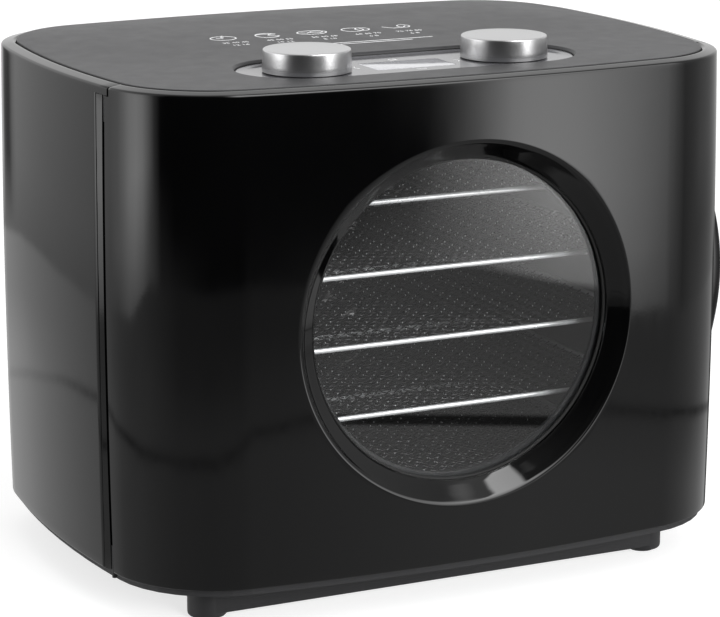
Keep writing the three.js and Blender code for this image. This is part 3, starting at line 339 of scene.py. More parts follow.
@dataclass(frozen=True)
class GlossShell(Finish):
    """High-gloss moulded plastic: near-mirror, with a faint ripple and fine hairlines."""

    lighter: float = 1.5
    rough_spread: float = 0.05
    rough_drop: float = 0.0
    ripple: float = 0.00005
    wave_scale: float = 26.0
    wave_share: float = 0.9
    peel_scale: float = 700.0
    peel_share: float = 0.03
    wipe_stretch: tuple[float, float, float] = (40.0, 40.0, 6.0)
    wipe_scale: float = 6.0

    def dress(self, tree: Tree) -> dict[str, Any]:
        """Deep colour, a low roughness with faint wiping marks, and a long soft ripple.

        Args:
            tree: the material's tree.

        Returns:
            Shader inputs by socket name.
        """
        place = tree.place()
        wave = tree.noise(place, self.wave_scale, 1.0)
        peel = tree.noise(place, self.peel_scale, 2.0)
        wipe = tree.noise(tree.stretched(place, self.wipe_stretch), self.wipe_scale, 4.0)
        return {
            "Base Color": tree.blend(wipe, self.colour, self.shade(self.lighter)),
            "Roughness": self.rough(wipe),
            "Normal": tree.bump(wave * self.wave_share + peel * self.peel_share, self.ripple),
        }


@dataclass(frozen=True)
class SeamShadedSatin(Finish):
    """Satin moulded plastic with painted shade: its sides are coloured dark, as the shadow in the
    seam around it.
    """

    # seam is the colour of the painted shade on the sides. It is full where the normal's upward
    # part is under the first limit, and gone over the second.
    seam: float = 0.006
    shade_below: float = 0.35
    face_above: float = 0.7
    specular: float = 0.32

    def dress(self, tree: Tree) -> dict[str, Any]:
        """The plain coat's colour where the face looks up, and painted shade where it looks
        sideways.

        Args:
            tree: the material's tree.

        Returns:
            Shader inputs by socket name.
        """
        inputs = super().dress(tree)
        # Painted shade: faces that turn sideways take the dark seam colour, which stands in for the
        # shadow in the gap.
        normal = tree.node("ShaderNodeNewGeometry").out("True Normal")
        unshaded = tree.axes(normal)[2].band(self.shade_below, self.face_above)
        dark = (self.seam, self.seam, self.seam)
        colour = tree.blend(unshaded, dark, inputs["Base Color"])
        return {**inputs, "Base Color": colour, "Specular IOR Level": self.specular}


@dataclass(frozen=True)
class SpunMetal(Finish):
    """Turned aluminium: fine rings about an upright axis."""

    darker: float = 0.86
    rough_spread: float = 0.14
    rough_drop: float = 0.07
    centre: tuple[float, float] = (0.0, 0.0)
    ring_scale: float = 9000.0
    ring_depth: float = 0.000012

    def dress(self, tree: Tree) -> dict[str, Any]:
        """Rings of grain by distance from the axis and by height.

        Args:
            tree: the material's tree.

        Returns:
            Shader inputs by socket name.
        """
        x, y, z = tree.axes(tree.place())
        dx, dy = x - self.centre[0], y - self.centre[1]
        radius = (dx * dx + dy * dy).math("SQRT")
        inputs = {0: radius * self.ring_scale, 1: z * self.ring_scale}
        grain = tree.noise(tree.node("ShaderNodeCombineXYZ", None, inputs).out(), 1.0)
        return {
            "Base Color": tree.blend(grain, self.shade(self.darker), self.colour),
            "Roughness": self.rough(grain),
            "Normal": tree.bump(grain, self.ring_depth),
        }


@dataclass(frozen=True)
class DrawnWire(Finish):
    """Chromed wire: bright, with faint draw marks and a little dullness."""

    darker: float = 0.8
    rough_spread: float = 0.16
    rough_drop: float = 0.05
    haze_scale: float = 60.0
    draw_scale: float = 2500.0
    draw_depth: float = 0.00001

    def dress(self, tree: Tree) -> dict[str, Any]:
        """A bright metal with a cloudy roughness.

        Args:
            tree: the material's tree.

        Returns:
            Shader inputs by socket name.
        """
        place = tree.place()
        haze = tree.noise(place, self.haze_scale)
        return {
            "Base Color": tree.blend(haze, self.shade(self.darker), self.colour),
            "Roughness": self.rough(haze),
            "Normal": tree.bump(tree.noise(place, self.draw_scale), self.draw_depth),
        }


@dataclass(frozen=True)
class ClearPane(Finish):
    """Toughened glass, clear to light that falls through it."""

    rough_spread: float = 0.03
    rough_drop: float = 0.0
    smear_stretch: tuple[float, float, float] = (3.0, 1.0, 14.0)
    smear_scale: float = 8.0
    shadow_tint: tuple[float, float, float] = (0.9, 0.92, 0.92)

    def dress(self, tree: Tree) -> dict[str, Any]:
        """A clear pane with faint smears in its roughness.

        Args:
            tree: the material's tree.

        Returns:
            Shader inputs by socket name.
        """
        smear = tree.noise(tree.stretched(tree.place(), self.smear_stretch), self.smear_scale, 4.0)
        return {
            "Base Color": self.colour,
            "Roughness": self.rough(smear.band(0.55, 0.8)),
            "Transmission Weight": 1.0,
        }

    def close(self, tree: Tree, shader: Node) -> None:
        """Lets lamp light through, where a solid pane would hold it back.

        Args:
            tree: the material's tree.
            shader: the pane's own shader.
        """
        shadow = tree.node("ShaderNodeLightPath").out("Is Shadow Ray")
        clear = tree.node("ShaderNodeBsdfTransparent", None, {"Color": self.shadow_tint})
        mix = tree.node("ShaderNodeMixShader", None, {0: shadow, 1: shader.out(), 2: clear.out()})
        tree.node("ShaderNodeOutputMaterial", None, {"Surface": mix.out()})


BLACK_GLOSS = GlossShell("black_gloss_shell", (0.0004, 0.0004, 0.00045), 0.022)
GREY_SATIN = SeamShadedSatin("grey_satin_panel_seam_shaded", (0.028, 0.028, 0.0298), 0.42)
INLAY_GLOSS = GlossShell("grey_gloss_inlay", (0.075, 0.075, 0.08), 0.06, ripple=0.00001)
DARK_MATT = Finish("black_matt_plastic", (0.016, 0.016, 0.017), 0.55)
DARK_SHEET = Finish("dark_coated_sheet", (0.012, 0.012, 0.0125), 0.4, 0.3)
SEAM_GREY = Finish("dark_satin_frame", (0.03, 0.03, 0.031), 0.3)
BLACK_RUBBER = Finish("black_rubber", (0.012, 0.012, 0.012), 0.75)
BRIGHT_WIRE = DrawnWire("chromed_rod", (0.9, 0.9, 0.91), 0.22, 0.6)
# The mesh wire's colour is set far darker than chrome: painted shade for wire inside the dark
# chamber.
SHADED_MESH_WIRE = DrawnWire("shade_darkened_mesh_wire", (0.115, 0.115, 0.119), 0.12, 1.0)
# Hook tips take a much lighter copy of the mesh wire: painted glints at the knots.
HOOK_GLINT = DrawnWire("glint_painted_hook_tip", (0.75, 0.75, 0.76), 0.3, 0.5)
PLAIN_STEEL = DrawnWire("plain_steel", (0.42, 0.42, 0.43), 0.38, 1.0)
PANE = ClearPane("clear_pane", (1.0, 1.0, 1.0), 0.0)
BOARD_GREEN = Finish("green_solder_mask", (0.02, 0.11, 0.05), 0.45)
PRINT_WHITE = Finish("white_print", (0.8, 0.8, 0.81), 0.5)
LENS_GREY = GlossShell("display_lens", (0.4, 0.4, 0.42), 0.04, ripple=0.000005)


# ------------------------------------------------------------------ mesh building


def grid_faces(rows: int, columns: int, closed: bool = False) -> Array:
    """Quads of a grid whose vertices run row by row.

    Args:
        rows: number of rows of vertices.
        columns: number of vertices in a row.
        closed: whether each row joins on to its own start.

    Returns:
        An array of quads, four vertex numbers each.
    """
    last = columns if closed else columns - 1
    row, column = np.meshgrid(np.arange(rows - 1), np.arange(last), indexing="ij")
    ahead = (column + 1) % columns
    corners = [row * columns + column, row * columns + ahead]
    corners += [(row + 1) * columns + ahead, (row + 1) * columns + column]
    return np.stack(corners, -1).reshape(-1, 4)


class MeshParts:
    """Vertices and faces collected from several surfaces of one piece.

    Shapes are given in millimetres from the origin.
    """

    def __init__(self) -> None:
        """Starts empty."""
        self.points: list[Array] = []
        self.faces: list[list[int]] = []
        self.count = 0

    def add(self, points: Array, faces: Array | Sequence[Sequence[int]]) -> None:
        """Adds a surface.

        Args:
            points: vertices, of any shape that ends in 3.
            faces: faces that number the surface's own vertices.
        """
        flat = np.asarray(points, float).reshape(-1, 3)
        self.points.append(flat * MM + ORIGIN)
        self.faces += [[int(i) + self.count for i in face] for face in faces]
        self.count += len(flat)

    def grid(self, points: Array, closed: bool = False) -> None:
        """Adds a grid surface of shape rows by columns by 3."""
        self.add(points, grid_faces(points.shape[0], points.shape[1], closed))

    def capped(self, rings: Array) -> None:
        """Adds closed rings as a grid, with a face over the first and the last.

        Args:
            rings: rings of points, in order.
        """
        self.grid(rings, True)
        for end in (0, -1):
            self.add(rings[end], [list(range(rings.shape[1]))])

    def tube(self, path: Array, radius: float, sides: int, closed: bool = False) -> None:
        """Adds a round tube: each point of a path gets a ring square to the path.

        Args:
            path: points by 3.
            radius: the tube's radius.
            sides: vertices in a ring.
            closed: whether the path joins on to its start.
        """
        if closed:
            along = np.roll(path, -1, 0) - np.roll(path, 1, 0)
        else:
            along = np.gradient(path, axis=0)
        along /= np.linalg.norm(along, axis=1, keepdims=True)
        steep = np.abs(along[:, 2:3]) > STEEP
        up = np.where(steep, np.array([1.0, 0.0, 0.0]), np.array([0.0, 0.0, 1.0]))
        side = np.cross(along, up)
        side /= np.linalg.norm(side, axis=1, keepdims=True)
        top = np.cross(side, along)
        turn = circle(sides)[None, :, None]
        ring = np.cos(turn) * side[:, None] + np.sin(turn) * top[:, None]
        points = path[:, None] + radius * ring
        if closed:
            self.grid(np.concatenate([points, points[:1]]), True)
        else:
            self.capped(points)

    def lathe(
        self, profile: Sequence[tuple[float, float]], centre: Sequence[float], steps: int
    ) -> None:
        """Adds a surface turned about an upright axis.

        Args:
            profile: (radius, height) pairs.
            centre: x and y of the axis.
            steps: segments in a turn.
        """
        turn = circle(steps)
        radius, height = np.array(profile, float).T
        x = centre[0] + radius[:, None] * np.cos(turn)
        y = centre[1] + radius[:, None] * np.sin(turn)
        z = np.broadcast_to(height[:, None], x.shape)
        self.grid(np.stack([x, y, z], -1), True)

    def piece(
        self,
        name: str,
        finish: Finish,
        body: str,
        replaces: Sequence[str] = (),
        crease: float = 38.0,
        slot: str | None = None,
    ) -> None:
        """Makes the collected surfaces one piece that rides on a body.

        Args:
            name: the piece's name.
            finish: its material.
            body: the body that it rides on.
            replaces: nodes that it stands for.
            crease: edges sharper than this many degrees stay sharp.
            slot: the record's material slot, for a piece that replaces no node; not used.
        """
        mesh = bpy.data.meshes.new(name)
        mesh.from_pydata(np.concatenate(self.points).tolist(), [], self.faces)
        work = bmesh.new()
        work.from_mesh(mesh)
        bmesh.ops.remove_doubles(work, verts=work.verts, dist=MERGE_REACH)
        bmesh.ops.dissolve_degenerate(work, edges=work.edges, dist=SLIVER)
        loose = [vertex for vertex in work.verts if not vertex.link_faces]
        bmesh.ops.delete(work, geom=loose, context="VERTS")
        bmesh.ops.recalc_face_normals(work, faces=work.faces)
        work.to_mesh(mesh)
        work.free()
        mesh.shade_smooth()
        mesh.set_sharp_from_angle(angle=math.radians(crease))
        mesh.materials.append(finish.material())
        made = bpy.data.objects.new(name, mesh)
        bpy.context.scene.collection.objects.link(made)
        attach(made, body)
        if replaces:
            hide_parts(*replaces)
        log.info("%s: %d faces on %s", name, len(mesh.polygons), body)


def smooth(value: Array, low: float, high: float) -> Array:
    """A smooth 0 to 1 rise of value between low and high."""
    share = np.clip((np.asarray(value, float) - low) / (high - low), 0.0, 1.0)
    return share * share * (3 - 2 * share)


def spaced(step: float, *stops: float) -> Array:
    """Rising values through every stop.

    Args:
        step: the widest gap between two values.
        stops: rising values that are all kept.

    Returns:
        The values, each once.
    """
    spans = zip(stops, stops[1:])
    parts = [np.linspace(a, b, max(2, math.ceil((b - a) / step) + 1)) for a, b in spans]
    return np.unique(np.round(np.concatenate(parts), 6))


def nearest(values: Array, wanted: float) -> int:
    """Where in a rising list a value stands."""
    return int(np.argmin(np.abs(values - wanted)))


def circle(count: int) -> Array:
    """Angles spread evenly over one turn, in radians."""
    return np.linspace(0, 2 * np.pi, count, endpoint=False)


def stadium(half_length: float, half_width: float) -> Array:
    """Points of an outline with straight sides and round ends, about its centre.

    Args:
        half_length: half its length, round ends included.
        half_width: half its width, which is its ends' radius.

    Returns:
        Points, two numbers each, anticlockwise.
    """
    turn = np.linspace(-np.pi / 2, np.pi / 2, STADIUM_END_POINTS)
    reach = half_length - half_width
    right = np.stack([reach + half_width * np.cos(turn), half_width * np.sin(turn)], -1)
    side = np.linspace(reach, -reach, STADIUM_SIDE_POINTS)[1:-1]
    top = np.stack([side, np.full(side.shape, half_width)], -1)
    half = np.concatenate([right, top])
    return np.concatenate([half, -half])


def round_box(half_x: float, half_y: float, corner: float, steps: int) -> Array:
    """Points of a rectangle with round corners, about its centre.

    Args:
        half_x: half its size along the first axis.
        half_y: half its size along the second axis.
        corner: its corners' radius.
        steps: points on each corner.

    Returns:
        Points, two numbers each, anticlockwise.
    """
    turn = np.linspace(0, np.pi / 2, steps)
    arc = corner * np.stack([np.cos(turn), np.sin(turn)], -1)
    parts = []
    for quarter, (x, y) in enumerate(((1, 1), (-1, 1), (-1, -1), (1, -1))):
        cos, sin = math.cos(quarter * np.pi / 2), math.sin(quarter * np.pi / 2)
        turned = arc @ np.array([[cos, sin], [-sin, cos]])
        parts.append(turned + [x * (half_x - corner), y * (half_y - corner)])
    return np.concatenate(parts)


def evened(outline: Array, count: int) -> Array:
    """A closed outline resampled at points evenly spread along it.

    Args:
        outline: points, two numbers each.
        count: how many points the result has.

    Returns:
        The new points, from the same start.
    """
    closed = np.concatenate([outline, outline[:1]])
    steps = np.linalg.norm(np.diff(closed, axis=0), axis=1)
    place = np.concatenate([[0.0], np.cumsum(steps)])
    even = np.linspace(0, place[-1], count, endpoint=False)
    return np.stack([np.interp(even, place, closed[:, axis]) for axis in (0, 1)], -1)


def inwards(outline: Array, amount: float) -> Array:
    """An outline moved inwards, each point along its own normal.

    Args:
        outline: points, two numbers each, anticlockwise.
        amount: how far they move.

    Returns:
        The moved points.
    """
    along = np.roll(outline, -1, 0) - np.roll(outline, 1, 0)
    along /= np.linalg.norm(along, axis=1, keepdims=True)
    return outline + amount * np.stack([-along[:, 1], along[:, 0]], -1)


def slab(parts: MeshParts, outline: Array, low: float, high: float, edge: float) -> None:
    """Adds an anticlockwise outline raised from low to high with rounded edges.

    The outline shrinks by edge * (1 - cos a) while its height changes by
    edge * sin a, for a from 0 to 90 degrees, at the bottom and at the top.

    Args:
        parts: where the surfaces go.
        outline: plan points, two numbers each.
        low: height of the bottom.
        high: height of the top.
        edge: radius of the rounded edges.
    """
    turn = np.linspace(0, np.pi / 2, EDGE_POINTS)
    inset = edge * (1 - np.cos(turn))
    rise = edge * (1 - np.sin(turn))
    levels = [(i, low + r) for i, r in zip(inset[::-1], rise[::-1])]
    levels += [(i, high - r) for i, r in zip(inset, rise)]
    rings = [np.c_[inwards(outline, i), np.full(len(outline), z)] for i, z in levels]
    parts.capped(np.array(rings))


def bar(parts: MeshParts, low: Sequence[float], high: Sequence[float], edge: float) -> None:
    """Adds a straight bar with all its edges rounded.

    Args:
        parts: where the surfaces go.
        low: its lowest corner.
        high: its highest corner.
        edge: radius of the rounded edges.
    """
    lo, hi = np.array(low, float), np.array(high, float)
    half, centre = (hi - lo) / 2, (hi + lo) / 2
    outline = round_box(half[0], half[1], edge, EDGE_POINTS) + centre[:2]
    slab(parts, outline, lo[2], hi[2], edge)


# ------------------------------------------------------------------ shell plan


@dataclass
class Plan:
    """The shell's plan: bowed sides joined by round corners, by distance along it.

    The distance is 0 at the middle of the front and grows towards the door pull.
    """

    width: float = 360.0
    depth: float = 276.0
    side_bow: float = 12.8
    front_bow: float = 13.2
    corner: float = 62.0
    samples: int = 6000

    def __post_init__(self) -> None:
        """Works out the three arcs of one quarter.

        A bow's radius is (half-chord squared + bow squared) / (2 * bow). The corner's
        centre lies where circles about the other two centres meet, each smaller than
        its own arc by the corner's radius.
        """
        half_front, half_side = self.width / 2 - self.side_bow, self.depth / 2 - self.front_bow
        self.front_radius = (half_front**2 + self.front_bow**2) / (2 * self.front_bow)
        self.side_radius = (half_side**2 + self.side_bow**2) / (2 * self.side_bow)
        front_c = np.array([0.0, self.front_radius - self.depth / 2])
        side_c = np.array([self.width / 2 - self.side_radius, 0.0])
        first, second = self.front_radius - self.corner, self.side_radius - self.corner
        apart = side_c - front_c
        distance = float(np.hypot(*apart))
        along = (distance**2 + first**2 - second**2) / (2 * distance)
        across = math.sqrt(first**2 - along**2)
        unit = apart / distance
        square = np.array([-unit[1], unit[0]])
        both = [front_c + unit * along + sign * across * square for sign in (1, -1)]
        corner_c = max(both, key=itemgetter(0))
        front_end = math.atan2(*(corner_c - front_c)[::-1]) % (2 * math.pi)
        side_end = math.atan2(*(corner_c - side_c)[::-1]) % (2 * math.pi)
        self.arcs = [
            (front_c, self.front_radius, 1.5 * math.pi, front_end),
            (corner_c, self.corner, front_end, side_end),
            (side_c, self.side_radius, side_end, 2 * math.pi),
        ]
        self.lengths = [radius * (end - start) for _, radius, start, end in self.arcs]
        self.quarter = sum(self.lengths)

    def local(self, distance: Array) -> tuple[Array, Array]:
        """Points and outward normals at distances along the plan.

        Each distance is folded into one quarter, found on its arc and mirrored back.

        Args:
            distance: distances of any shape.

        Returns:
            The points and their normals, each of that shape by 2.
        """
        whole = 4 * self.quarter
        before, after = 1e-9, 1e-6  # so that no distance falls between two arcs
        s = (np.asarray(distance, float) + whole / 2) % whole - whole / 2
        left, back = s < 0, np.abs(s) > self.quarter
        s = np.abs(s)
        s = np.where(back, 2 * self.quarter - s, s)
        point, normal = np.zeros((*s.shape, 2)), np.zeros((*s.shape, 2))
        start = 0.0
        for (centre, radius, low, _), length in zip(self.arcs, self.lengths):
            here = (s >= start - before) & (s <= start + length + after)
            angle = low + (s - start) / radius
            unit = np.stack([np.cos(angle), np.sin(angle)], -1)
            point = np.where(here[..., None], centre + radius * unit, point)
            normal = np.where(here[..., None], unit, normal)
            start += length
        flip = np.stack([np.where(left, -1.0, 1.0), np.where(back, -1.0, 1.0)], -1)
        return point * flip, normal * flip

    def point(self, distance: Array, inset: Array | float = 0.0) -> Array:
        """Plan points moved inwards by inset."""
        point, normal = self.local(distance)
        return point - normal * np.asarray(inset, float)[..., None]

    def outline(self, inset: float, count: int) -> Array:
        """The whole plan, anticlockwise, as evenly spread points."""
        return self.point(np.linspace(0, 4 * self.quarter, count, endpoint=False), inset)

    def reach(self, y: float, inset: float = 0.0) -> float:
        """The distance along the right half at which the inset plan comes to y."""
        s = np.linspace(0, 2 * self.quarter, self.samples)
        return float(np.interp(y, self.point(s, np.full(s.shape, inset))[:, 1], s))

    def side(self, y: float) -> float:
        """x of the plan's right half at y."""
        return self.point(np.array([self.reach(y)]))[0, 0]

    def across(self, x: Array, inset: Array | float = 0.0) -> Array:
        """The distance along the front arc of a point at x on the inset plan."""
        return self.front_radius * np.arcsin(np.asarray(x) / (self.front_radius - inset))


PLAN = Plan()


@dataclass
class ShellForm:
    """The wall and rim that the door and the cabinet share.

    A point of the wall is the plan's point at a distance, moved outwards by the
    belly: bulge * (1 - u * u), where u runs from -1 at the foot to 1 at the top.
    A sheet has end_columns points at either end that follow the seam; the outermost
    turns in by end_bevel.
    """

    low: float = 24.0
    top: float = 278.0
    bulge: float = 1.27
    wall: float = 3.0
    edge: float = 1.4
    edge_turn: float = 79.7
    rim_width: float = 8.0
    rim_top: float = 279.2
    rim_under: float = 273.5
    rim_inside_drop: float = 1.4
    row_step: float = 4.2
    end_columns: int = 3
    end_trim: float = 0.45
    end_bevel: float = 0.35

    def belly(self, z: Array) -> Array:
        """How far the wall stands out at height z."""
        u = (np.asarray(z, float) - (self.low + self.top) / 2) / ((self.top - self.low) / 2)
        return self.bulge * np.maximum(0.0, 1 - u * u)

    def surface(self, distance: Array, z: Array, inset: Array | float = 0.0) -> Array:
        """Points of the wall at distances along the plan and heights.

        Args:
            distance: distances along the plan.
            z: heights, of the same shape or one that stretches to it.
            inset: how far inside the outer face they lie.

        Returns:
            Points, three numbers each.
        """
        shape = np.broadcast_shapes(np.shape(distance), np.shape(z), np.shape(inset))
        s, z = np.broadcast_to(distance, shape), np.broadcast_to(z, shape)
        flat = PLAN.point(s, np.broadcast_to(inset, shape) - self.belly(z))
        return np.concatenate([flat, z[..., None]], -1)

    def profile(self, part: float, *heights: float) -> tuple[Array, Array, int]:
        """The wall's section as two matched lists of (inset, height) rows.

        The outer face runs up the wall, over a round of the rim's edge and up its
        slope; the inner face runs up the wall's inside and the rim's inner side.

        Args:
            part: the height at which the wall's seam gives way to the rim's.
            heights: heights that have a row of their own.

        Returns:
            The outer rows, the inner rows, and how many rows belong to the wall.
        """
        foot_edge = ((0.75, 0.0), (0.3, 0.12), (0.06, 0.4))
        slope_insets = (3.0, 5.0, 6.2)
        inner_edge = ((1.3, 0.35), (0.8, 0.75), (0.0, 1.25))
        wall = [(inset, self.low + rise) for inset, rise in foot_edge]
        wall += [(0.0, z) for z in spaced(self.row_step, self.low + 0.8, *heights, part)]
        inner = [(self.wall - inset, z) for inset, z in wall]
        turn = np.radians(np.linspace(0, self.edge_turn, 9))
        centre = self.top - self.edge
        lip = [(0.0, part), (0.0, (part + centre) / 2)]
        lip += [(self.edge * (1 - math.cos(a)), centre + self.edge * math.sin(a)) for a in turn]
        slope = (self.rim_top - self.top) / (self.rim_width - self.edge)
        lip += [(inset, self.top + slope * (inset - self.edge)) for inset in slope_insets]
        lip += [(self.rim_width - short, self.rim_top - drop) for short, drop in inner_edge]
        inside_top = self.rim_top - self.rim_inside_drop
        rises = np.linspace(self.rim_under, inside_top, len(lip) - 1)
        inner += [(self.wall, part)] + [(self.rim_width, z) for z in rises]
        return np.array(wall + lip), np.array(inner), len(wall)

    def sheet(
        self, rows: Array, columns: Array, ends: tuple[Array, Array], bevel: float = 0.0
    ) -> Array:
        """A face of the shell as a grid that ends in the seam planes.

        Args:
            rows: (inset, height) of each row.
            columns: distances along the plan that all rows share.
            ends: for each row, the distances at which it starts and stops.
            bevel: how far the last points at either end turn in.

        Returns:
            Points, by row and by distance.
        """
        first, last = ends[0][:, None], ends[1][:, None]
        halves = np.array([0.0, 0.5])
        start = first + self.end_trim + (columns[0] - first - self.end_trim) * halves
        stop = columns[-1] + (last - self.end_trim - columns[-1]) * (halves + 0.5)
        body = np.broadcast_to(columns, (len(rows), len(columns)))
        s = np.concatenate([first, start, body, stop, last], 1)
        inset = np.broadcast_to(rows[:, :1], s.shape).copy()
        inset[:, [0, -1]] += bevel
        return self.surface(s, np.broadcast_to(rows[:, 1:], s.shape), inset)


@dataclass
class Opening:
    """A hole through a shell: the rows and columns of the grid that it takes out."""

    rows: tuple[int, int]
    columns: tuple[int, int]

    def faces(self, faces: Array, width: int) -> Array:
        """The grid's faces that lie outside this hole.

        Args:
            faces: quads, whose first corners have the lowest row and column.
            width: how many points a row has.

        Returns:
            The quads that stay.
        """
        row, column = faces[:, 0] // width, faces[:, 0] % width
        inside = (row >= self.rows[0]) & (row < self.rows[1])
        inside &= (column >= self.columns[0]) & (column < self.columns[1])
        return faces[~inside]

    def loop(self, points: Array) -> Array:
        """The hole's border on a grid of points, in order.

        Args:
            points: the grid, by row and by column.

        Returns:
            The points round the hole, each once.
        """
        (a, b), (c, d) = self.rows, self.columns
        sides = [points[a, c:d], points[a:b, d], points[b, d:c:-1], points[b:a:-1, c]]
        return np.concatenate(sides)


def shell_faces(
    parts: MeshParts, outer: Array, inner: Array, holes: Sequence[Opening]
) -> None:
    """Adds a shell's two faces, its foot, its rim's inner edge and its two ends.

    Args:
        parts: where the surfaces go.
        outer: the outer face's grid of points.
        inner: the inner face's, of the same shape.
        holes: openings through both.
    """
    rows, width = outer.shape[:2]
    for points in (outer, inner):
        faces = grid_faces(rows, width)
        for hole in holes:
            faces = hole.faces(faces, width)
        parts.add(points, faces)
    parts.grid(np.stack([outer[0], inner[0]]))
    parts.grid(np.stack([outer[-1], inner[-1]]))
    for end in (0, -1):
        parts.grid(np.stack([outer[:, end], inner[:, end]]))


@dataclass
class WindowRings:
    """Rings about the window, each with a point at every one of the same angles.

    A ring's x is radius * cos(angle) and its height the middle's plus
    radius * sin(angle).
    """

    form: ShellForm
    middle: float
    angle: Array

    def flat(self, radius: float) -> tuple[Array, Array]:
        """x and height of a ring's points."""
        return radius * np.cos(self.angle), self.middle + radius * np.sin(self.angle)

    def on_wall(self, radius: float, inset: float = 0.0) -> Array:
        """A ring that lies on the wall, inside its outer face by inset."""
        x, z = self.flat(radius)
        return self.form.surface(PLAN.across(x, inset - self.form.belly(z)), z, inset)

    def at_depth(self, radius: float, y: Array | float) -> Array:
        """A ring whose points lie at y."""
        x, z = self.flat(radius)
        return np.stack([x, np.broadcast_to(y, x.shape), z], -1)

    def towards(self, border: Array, ring: Array, shares: Array, inset: float) -> list[Array]:
        """Rings on the wall that turn by degrees from a ring into the border.

        Args:
            border: (distance, height) of the border's points.
            ring: the ring's points.
            shares: how far each new ring has turned into the border, from 0 to 1.
            inset: how far inside the outer face they lie.

        Returns:
            The rings, one for each share.
        """
        flat = np.stack([PLAN.across(ring[:, 0], inset), ring[:, 2]], -1)
        between = [flat + (border - flat) * share for share in shares]
        return [self.form.surface(b[:, 0], b[:, 1], inset) for b in between]


@dataclass
class Door:
    """The wrap-round door: its moulded shell, its pull and its window's seal.

    The window is a cone from the mouth, in the door's face, to the sight edge, which
    stands a little ahead of the glass. Inside the patch, the face's grid gives way to
    rings about the window. The tube is the window's outer wall behind the face.
    """

    form: ShellForm
    seam_y: float = -76.0
    rim_y: float = -80.0
    part: float = 273.1
    column_step: float = 2.2
    column_margin: float = 5.0
    patch_half: float = 112.0
    patch_low: float = 40.0
    patch_high: float = 262.0
    mouth: float = 94.5
    sight: float = 85.0
    sight_ahead: float = 4.2
    socket_ahead: float = 2.6
    glass_room: float = 0.3
    tube: float = 98.5
    column: float = 6.2
    column_fall: float = 0.36
    groove: float = 1.4
    boss_wall: float = 2.0
    magnet_room: float = 0.3

    def build(self) -> None:
        """Builds every piece of the door."""
        self.shell()
        self.pull()
        self.seal()

    def ends(self, rows: Array, wall_rows: int) -> tuple[Array, Array]:
        """The distances at which each row meets the seam planes.

        Args:
            rows: (inset, height) of each row.
            wall_rows: how many of them belong to the wall.

        Returns:
            Where each row starts, and where it stops.
        """
        seam = np.where(np.arange(len(rows)) < wall_rows, self.seam_y, self.rim_y)
        inset = rows[:, 0] - self.form.belly(rows[:, 1])
        last = np.array([PLAN.reach(y, i) for y, i in zip(seam, inset)])
        return -last, last

    def shell(self) -> None:
        """The moulded shell with its coned window, hinge column and magnet boss."""
        form, half = self.form, self.patch_half
        outer_rows, inner_rows, wall_rows = form.profile(
            self.part, self.patch_low, self.patch_high
        )
        reach = PLAN.reach(self.rim_y - self.column_margin)
        columns = spaced(self.column_step, -reach, -half, half, reach)
        ends = self.ends(outer_rows, wall_rows)
        outer = form.sheet(outer_rows, columns, ends, form.end_bevel)
        inner = form.sheet(inner_rows, columns, self.ends(inner_rows, wall_rows))
        rows, skip = outer_rows[:, 1], form.end_columns
        patch = Opening(
            (nearest(rows, self.patch_low), nearest(rows, self.patch_high)),
            (nearest(columns, -half) + skip, nearest(columns, half) + skip),
        )
        parts = MeshParts()
        shell_faces(parts, outer, inner, [patch])
        distances = np.pad(columns, skip, constant_values=np.nan)
        flat = np.stack(np.meshgrid(distances, rows), -1)
        parts.grid(self.window(patch.loop(flat), patch.loop(outer), patch.loop(inner)), True)
        self.hinge_column(parts)
        self.magnet_boss(parts)
        parts.piece("door_moulding", BLACK_GLOSS, "door", ["door_shell"])

    def window(self, border: Array, outer: Array, inner: Array) -> Array:
        """The front around the window, as rings that share each border point's angle.

        Rings run from the outer border to the mouth, over its rounded edge, down the
        cone to the sight edge, round the glass's socket and back out to the inner
        border. The points of the two edges and the cone's ends are given as (wider,
        further back) than the mouth in the face or the sight edge.

        Args:
            border: (distance, height) of the border's points.
            outer: the border's points on the outer face.
            inner: the border's points on the inner face.

        Returns:
            Rings of points.
        """
        glass_low, glass_high = extent("window_glass")
        middle = (glass_low[2] + glass_high[2]) / 2
        about = WindowRings(self.form, middle, np.arctan2(border[:, 1] - middle, border[:, 0]))
        mouth_start, bunching = 1.6, 1.3
        mouth_edge = ((0.9, 0.1), (0.25, 0.42), (-0.35, 0.95), (-0.9, 1.5))
        cone_start, cone_stop = (-1.5, 2.1), (0.45, -0.4)
        sight_edge = ((0.12, 0.05), (0.0, 0.6))
        sight_y, socket_y = glass_low[1] - self.sight_ahead, glass_low[1] - self.socket_ahead
        back_y = glass_high[1]
        edge = about.on_wall(self.mouth + mouth_start)
        shares = np.linspace(1, 0, 12)[1:-1] ** bunching
        rings = [outer, *about.towards(border, edge, shares, 0.0), edge]
        for wider, back in mouth_edge:
            face_y = about.on_wall(self.mouth + wider)[:, 1]
            rings.append(about.at_depth(self.mouth + wider, face_y + back))
        mouth_y = about.on_wall(self.mouth)[:, 1]
        start = about.at_depth(self.mouth + cone_start[0], mouth_y + cone_start[1])
        stop = about.at_depth(self.sight + cone_stop[0], sight_y + cone_stop[1])
        rings += [start + (stop - start) * share for share in np.linspace(0, 1, 5)]
        socket = (glass_high[0] - glass_low[0]) / 2 + self.glass_room
        inside = [(self.sight + wider, sight_y + back) for wider, back in sight_edge]
        inside += [(self.sight, socket_y), (socket, socket_y), (socket, back_y)]
        inside += [(self.tube, back_y)]
        rings += [about.at_depth(radius, y) for radius, y in inside]
        wall = self.form.wall
        root = about.on_wall(self.tube, wall)
        shares = np.linspace(0, 1, 9)[1:-1]
        rings += [root, *about.towards(border, root, shares, wall), inner]
        return np.array(rings)

